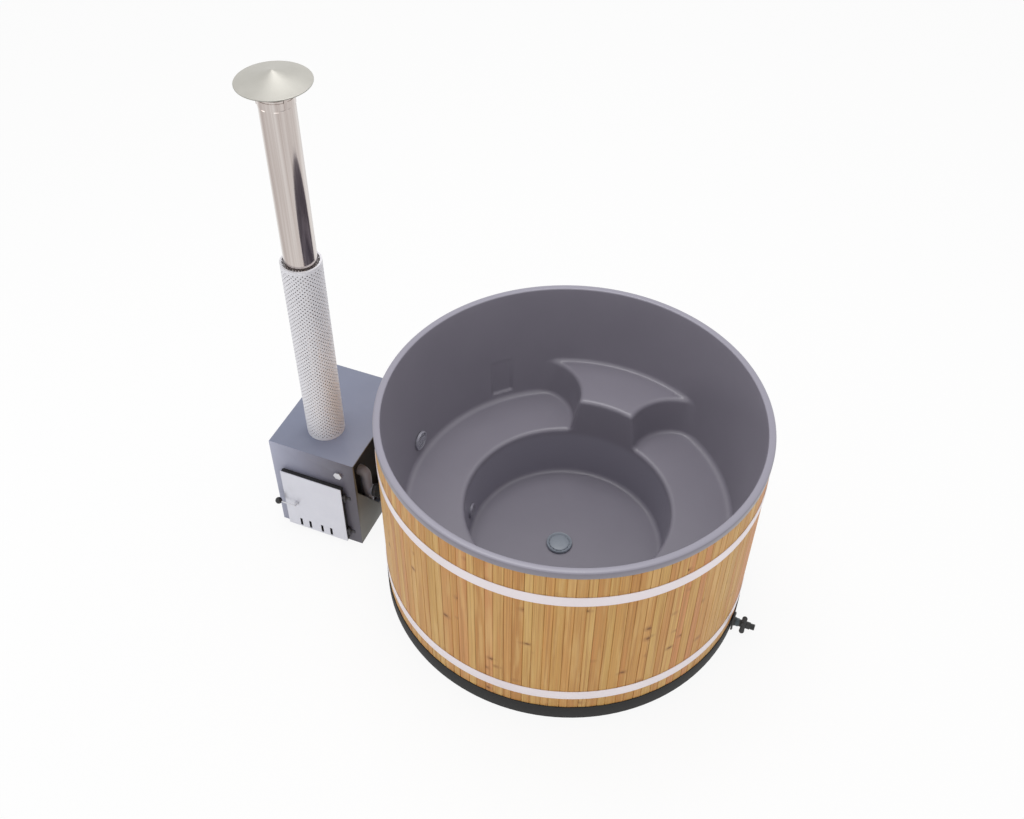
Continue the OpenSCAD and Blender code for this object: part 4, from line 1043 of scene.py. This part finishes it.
# sheet with round holes in crossing rows, between plain borders
def makeGuard():
    low, high, middle, radius = roundBox("flue_guard")
    step = guard["pitch"] / math.sqrt(2)
    columns = 2 * round(math.pi * radius / step)
    rows = int((high.z - low.z - 2 * guard["border"]) / step)
    rows -= rows % 2
    step = (high.z - low.z - 2 * guard["border"]) / rows
    start = low.z + guard["border"]
    points = []
    faces = []
    number = {}

    def point(key, u, z, layer):
        # key names a shared point; u is in columns
        if (key, layer) not in number:
            a = 2 * math.pi * u / columns
            r = radius - layer * guard["wall"]
            number[(key, layer)] = len(points)
            points.append((middle.x + r * math.cos(a), middle.y + r * math.sin(a), z))
        return number[(key, layer)]

    def corner(u, v, layer):
        return point((u % columns, v), u, start + v * step, layer)

    def holePoint(u, v, k, layer):
        a = math.radians(45 * k)
        du = guard["hole"] * math.cos(a) / (2 * math.pi * radius / columns)
        return point((u % columns, v, k % 8), u + du, start + v * step + guard["hole"] * math.sin(a), layer)

    def edgePoint(u, top, layer):
        return point((u % columns, "top" if top else "base"), u, high.z if top else low.z, layer)

    for layer in (0, 1):
        def add(*ring):
            faces.append(ring if layer == 0 else ring[::-1])
        for v in range(1, rows):
            for u in range(v % 2, columns, 2):
                ends = [(u + 1, v), (u, v + 1), (u - 1, v), (u, v - 1)]
                for q in range(4):
                    a = corner(*ends[q], layer)
                    b = corner(*ends[(q + 1) % 4], layer)
                    h = [holePoint(u, v, 2 * q + k, layer) for k in range(3)]
                    add(a, b, h[1])
                    add(a, h[1], h[0])
                    add(b, h[2], h[1])
        for u in range(0, columns, 2):
            for v, top in ((0, False), (rows, True)):
                inner = 1 if v == 0 else rows - 1
                left, right, tip = corner(u - 1, v, layer), corner(u + 1, v, layer), corner(u, inner, layer)
                outLeft, outRight = edgePoint(u - 1, top, layer), edgePoint(u + 1, top, layer)
                if top:
                    add(tip, right, left)
                    add(left, right, outRight, outLeft)
                else:
                    add(left, right, tip)
                    add(outLeft, outRight, right, left)
    for v in range(1, rows):
        for u in range(v % 2, columns, 2):
            for k in range(8):
                a = [holePoint(u, v, k, layer) for layer in (0, 1)]
                b = [holePoint(u, v, k + 1, layer) for layer in (0, 1)]
                faces.append((a[0], b[0], b[1], a[1]))
    for u in range(0, columns, 2):
        a = [edgePoint(u - 1, False, layer) for layer in (0, 1)]
        b = [edgePoint(u + 1, False, layer) for layer in (0, 1)]
        faces.append((a[0], a[1], b[1], b[0]))
    # the top edge turns in as a narrow hem
    hem = [(guard["hemRound"], 0.0), (guard["hem"], 0.0), (guard["hem"], -guard["wall"])]
    for u in range(0, columns, 2):
        sides = []
        for end in (u - 1, u + 1):
            a = 2 * math.pi * end / columns
            ring = [edgePoint(end, True, 0)]
            for inward, drop in hem:
                key = ("hem", end % columns, inward, drop)
                if key not in number:
                    number[key] = len(points)
                    r = radius - inward
                    points.append((middle.x + r * math.cos(a), middle.y + r * math.sin(a), high.z + drop))
                ring.append(number[key])
            ring.append(edgePoint(end, True, 1))
            sides.append(ring)
        for k in range(len(sides[0]) - 1):
            faces.append((sides[0][k], sides[1][k], sides[1][k + 1], sides[0][k + 1]))
    addPiece("perforated_guard", points, faces, ["flue_guard"], 40)


makeGuard()

pipe = {
    "wall": 0.002,
    "bead": 0.0016,
    "beadTall": 0.012,
    "beadSteps": 8,
    "lowBead": 0.03,
    "highBead": 0.05,
    "ease": 0.0006,
    "sootGap": 0.0003,
}


# pipe with a rolled bead near each end that stays under the outer radius of its socket
def makePipe(node, name):
    low, high, middle, radius = roundBox(node)
    inner, ease, steps = radius - pipe["wall"], pipe["ease"], pipe["beadSteps"]
    outline = [(radius - ease, low.z), (radius, low.z + ease)]
    for z in (low.z + pipe["lowBead"], high.z - pipe["highBead"]):
        for i in range(steps + 1):
            share = i / steps
            sink = pipe["bead"] * math.sin(math.pi * share) ** 2
            outline.append((radius - sink, z + pipe["beadTall"] * share))
    outline += [(radius, high.z - ease), (radius - ease, high.z), (inner, high.z), (inner, low.z)]
    points, faces = moved(lathe(outline, 128), Matrix.Translation((middle.x, middle.y, 0)))
    piece = addPiece(name, points, faces, [node], 30)
    sooty = inner + pipe["sootGap"]
    secondFinish(piece, sootAndShade, lambda at: math.hypot(at.x - middle.x, at.y - middle.y) < sooty)


makePipe("flue_lower", "lower_pipe")
makePipe("flue_upper", "upper_pipe")

cap = {"hem": 0.003, "tip": 0.010, "tipDrop": 0.0006, "tipGap": 0.001, "wall": 0.0018}


# cone with a rolled hem and a softened tip
def makeCap():
    low, high, middle, radius = roundBox("rain_cap")
    hem, tip, wall = cap["hem"], cap["tip"], cap["wall"]
    fall = (high.z - low.z - 2 * hem) / (radius - hem)
    outline = [(axisGap, high.z), (tip * 0.5, high.z - cap["tipDrop"]), (tip, high.z - tip * fall)]
    outline += [(radius - hem, high.z - (radius - hem) * fall)]
    outline += bend(radius - hem, low.z + hem, hem, 80, -160, 8)
    outline += [(radius - 2 * hem, high.z - (radius - 2 * hem) * fall - wall)]
    outline += [(axisGap, high.z - wall - cap["tipGap"])]
    points, faces = moved(lathe(outline, 128), Matrix.Translation((middle.x, middle.y, 0)))
    addPiece("cap_cone", points, faces, ["rain_cap"], 25)


makeCap()
print("chimney made")

flange = {
    "plate": 0.008,
    "edge": 0.003,
    "boss": 0.022,
    "bossEdge": 0.0015,
    "bore": 0.011,
    "screws": 4,
    "screwIn": 0.009,
    "screw": 0.0045,
    "screwDome": 0.0064,
    "screwTop": 0.0019,
}
valve = {
    "bore": 0.011,
    "barrel": 0.018,
    "barrelEdge": 0.002,
    "nut": 0.0206,
    "nutTall": 0.016,
    "nutGap": 0.004,
    "nutEdge": 0.0012,
    "cornerTurn": 0.03,
    "outlet": 0.016,
    "tail": 0.022,
    "tailGap": 0.003,
    "barbs": 3,
    "barb": 0.0022,
    "barbRise": 0.0005,
    "barbFall": 0.002,
    "stem": 0.009,
    "stemTall": 0.021,
    "stemTurn": 45,
    "knobEdge": 0.0015,
    "handleGap": 0.005,
    "wing": 0.043,
    "waist": 0.0105,
    "plate": 0.006,
    "plateEdge": 0.002,
    "hub": 0.012,
    "hubTall": 0.009,
}


# turns a shape built on +Z along the waste line towards the outlet, its foot at x
def alongWaste(x):
    middle = centreOf("wall_flange")
    return Matrix.Translation((x, middle.y, middle.z)) @ Matrix.Rotation(math.radians(90), 4, "Y")


# turns a shape built on +Z along the valve's stem, its foot at a distance from the waste line
def onStem(out):
    middle = centreOf("wall_flange")
    place = Matrix.Translation((centreOf("valve_handle").x, middle.y, middle.z))
    turned = place @ Matrix.Rotation(math.radians(valve["stemTurn"]), 4, "X")
    return turned @ Matrix.Translation((0, 0, out))


# outline of a round knob on its axis
def knob(radius, tall):
    ease = valve["knobEdge"]
    edge = bend(radius - ease, tall - ease, ease, 0, 90, 3)
    return [(axisGap, 0), (radius, 0)] + edge + [(axisGap, tall)]


def makeFlange():
    low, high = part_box("wall_flange")
    radius, long = (high.z - low.z) / 2, high.x - low.x
    plate, edge, boss, bossEdge = (flange[key] for key in ("plate", "edge", "boss", "bossEdge"))
    outline = [(flange["bore"], 0), (radius, 0)] + bend(radius - edge, plate - edge, edge, 0, 90, 4)
    outline += bend(boss + edge, plate + edge, edge, -90, -180, 3)
    outline += bend(boss - bossEdge, long - bossEdge, bossEdge, 0, 90, 2) + [(flange["bore"], long)]
    screw = flange["screw"]
    head = [(axisGap, 0), (screw, 0)] + bend(0.0, -screw, flange["screwDome"], 45, 90, 4)[:-1]
    head += [(axisGap, flange["screwTop"])]
    shapes = [lathe(outline, 96)]
    reach = radius - flange["screwIn"]
    for i in range(flange["screws"]):
        a = math.radians(45 + 90 * i)
        place = Matrix.Translation((reach * math.cos(a), reach * math.sin(a), plate))
        shapes.append(moved(lathe(head, 24), place))
    points, faces = moved(joined(*shapes), alongWaste(low.x))
    addPiece("flange_plate", points, faces, ["wall_flange"], 32)


def makeValveBody():
    low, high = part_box("valve_body")
    radius, outlet, bore, edge = (valve[key] for key in ("barrel", "outlet", "bore", "barrelEdge"))
    nut, length = valve["nutTall"], high.x - low.x
    shoulder, tail = nut + valve["nutGap"], length - valve["tail"]
    outline = [(bore, 0), (radius, 0), (radius, shoulder)]
    outline += bend(radius - edge, tail - edge, edge, 0, 90, 3) + [(outlet - valve["barbFall"], tail)]
    pitch = (valve["tail"] - valve["tailGap"]) / valve["barbs"]
    for i in range(valve["barbs"]):
        z = tail + valve["tailGap"] + i * pitch
        outline += [(outlet - valve["barb"], z), (outlet, z + valve["barbRise"])]
        outline += [(outlet - valve["barbFall"], z + pitch)]
    outline += [(bore, length)]
    turns = [math.radians(60 * i) + side * valve["cornerTurn"] for i in range(6) for side in (-1, 1)]
    hexagon = [(valve["nut"] * math.cos(a), valve["nut"] * math.sin(a)) for a in turns]
    shapes = [moved(lathe(outline, 96), alongWaste(low.x)),
              moved(slab(hexagon, 0, nut, valve["nutEdge"]), alongWaste(low.x)),
              moved(lathe(knob(valve["stem"], valve["stemTall"]), 48), onStem(0))]
    piece = addPiece("valve_barrel", *joined(*shapes), ["valve_body"], 30)
    secondFinish(piece, teal, lambda at: at.x < low.x + shoulder)


# butterfly wings on a hub
def makeHandle():
    low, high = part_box("valve_handle")
    half = valve["wing"]
    wide = (high.x - low.x) / 2
    outline = bend(0, half - wide, wide, -15, 195, 18) + [(-valve["waist"], 0)]
    outline += bend(0, wide - half, wide, 165, 375, 18) + [(valve["waist"], 0)]
    plate = slab(outline, 0, valve["plate"], valve["plateEdge"])
    hub = lathe(knob(valve["hub"], valve["hubTall"]), 48)
    points, faces = moved(joined(plate, hub), onStem(valve["barrel"] + valve["handleGap"]))
    addPiece("butterfly_handle", points, faces, ["valve_handle"], 35)


makeFlange()
makeValveBody()
makeHandle()
print("valve made")


# width of the eased edges of each node that keeps its CAD shape
edges = {
    "casing_front": 0.0009,
    "casing_top": 0.0009,
    "casing_wrap": 0.0009,
    "casing_side": 0.0008,
    "casing_floor": 0.0008,
    "door_plate": 0.0016,
    "door_tray": 0.002,
    "throat_frame": 0.0012,
    "jacket_plug": 0.0016,
    "hinge_brackets": 0.001,
    "door_knuckles": 0.001,
    "latch_tongue": 0.001,
    "base_ring": 0.004,
    "upper_hoop": 0.0008,
    "lower_hoop": 0.0008,
    "bench_legs": 0.002,
    "seat_legs": 0.002,
    "union_nuts": 0.0015,
    "hoop_bolts": 0.001,
    "hoop_nuts": 0.001,
    "hose_clamps": 0.0005,
}
for node, width in edges.items():
    easedCopy(node, width)
print("stove and trim eased")

studio = {
    "floor": srgb(244, 244, 244),
    "floorHalf": 40,
    "shadow": 0.10,
    "sky": 0.70,
    "lamps": {
        "topLamp": {"place": (-0.9, 0.9, 6.2), "aim": (-0.2, 0, 0.3), "size": 3.0, "power": 118},
        "leftLamp": {"place": (-4.6, -2.2, 2.4), "aim": (-1.2, -0.3, 0.5), "size": 2.0, "power": 16},
        "rightLamp": {"place": (3.6, 0.6, 4.4), "aim": (0, 0, 0.4), "size": 3.0, "power": 10},
        "frontLamp": {"place": (1.2, -5.2, 3.2), "aim": (0, 0, 0.4), "size": 3.0, "power": 16},
    },
}


# mixes in plain white for the rays that see the backdrop itself
def pureWhite(f, shader, share):
    seen, gloss, through = [f.node("LightPath", out=ray)
                            for ray in ("Is Camera Ray", "Is Glossy Ray", "Is Transmission Ray")]
    direct = seen.maths("MAXIMUM", seen, gloss)
    direct = direct.maths("MAXIMUM", direct, through)
    white = f.node("Emission", {}, {"Color": (1, 1, 1, 1)})
    return f.node("MixShader", {}, {0: direct * share, 1: shader, 2: white})


def addFloor():
    half = studio["floorHalf"]
    corners = [(-half, -half, 0), (half, -half, 0), (half, half, 0), (-half, half, 0)]
    mesh = bpy.data.meshes.new("floor")
    mesh.from_pydata(corners, [], [(0, 1, 2, 3)])
    floor = addObject("floor", mesh)
    f = Finish("paleFloor")
    plain = f.node("BsdfDiffuse", {}, {"Color": studio["floor"]})
    f.node("OutputMaterial", {}, {"Surface": pureWhite(f, plain, 1 - studio["shadow"])})
    mesh.materials.append(f.material)


def addWorld():
    world = bpy.data.worlds.new("studio")
    bpy.context.scene.world = world
    f = Finish("studio", world)
    sky = f.node("Background", {}, {"Color": (1, 1, 1, 1), "Strength": studio["sky"]})
    f.node("OutputWorld", {}, {"Surface": pureWhite(f, sky, 1.0)})


def addLamp(name, place, aim, size, power):
    lamp = addObject(name, bpy.data.lights.new(name, "AREA"))
    lamp.data.shape = "DISK"
    lamp.data.size = size
    lamp.data.energy = power
    lamp.location = place
    lamp.rotation_euler = (Vector(aim) - Vector(place)).to_track_quat("-Z", "Y").to_euler()


addFloor()
addWorld()
for name, lamp in studio["lamps"].items():
    addLamp(name, **lamp)
bpy.context.scene.view_settings.view_transform = "Standard"
print("studio set")
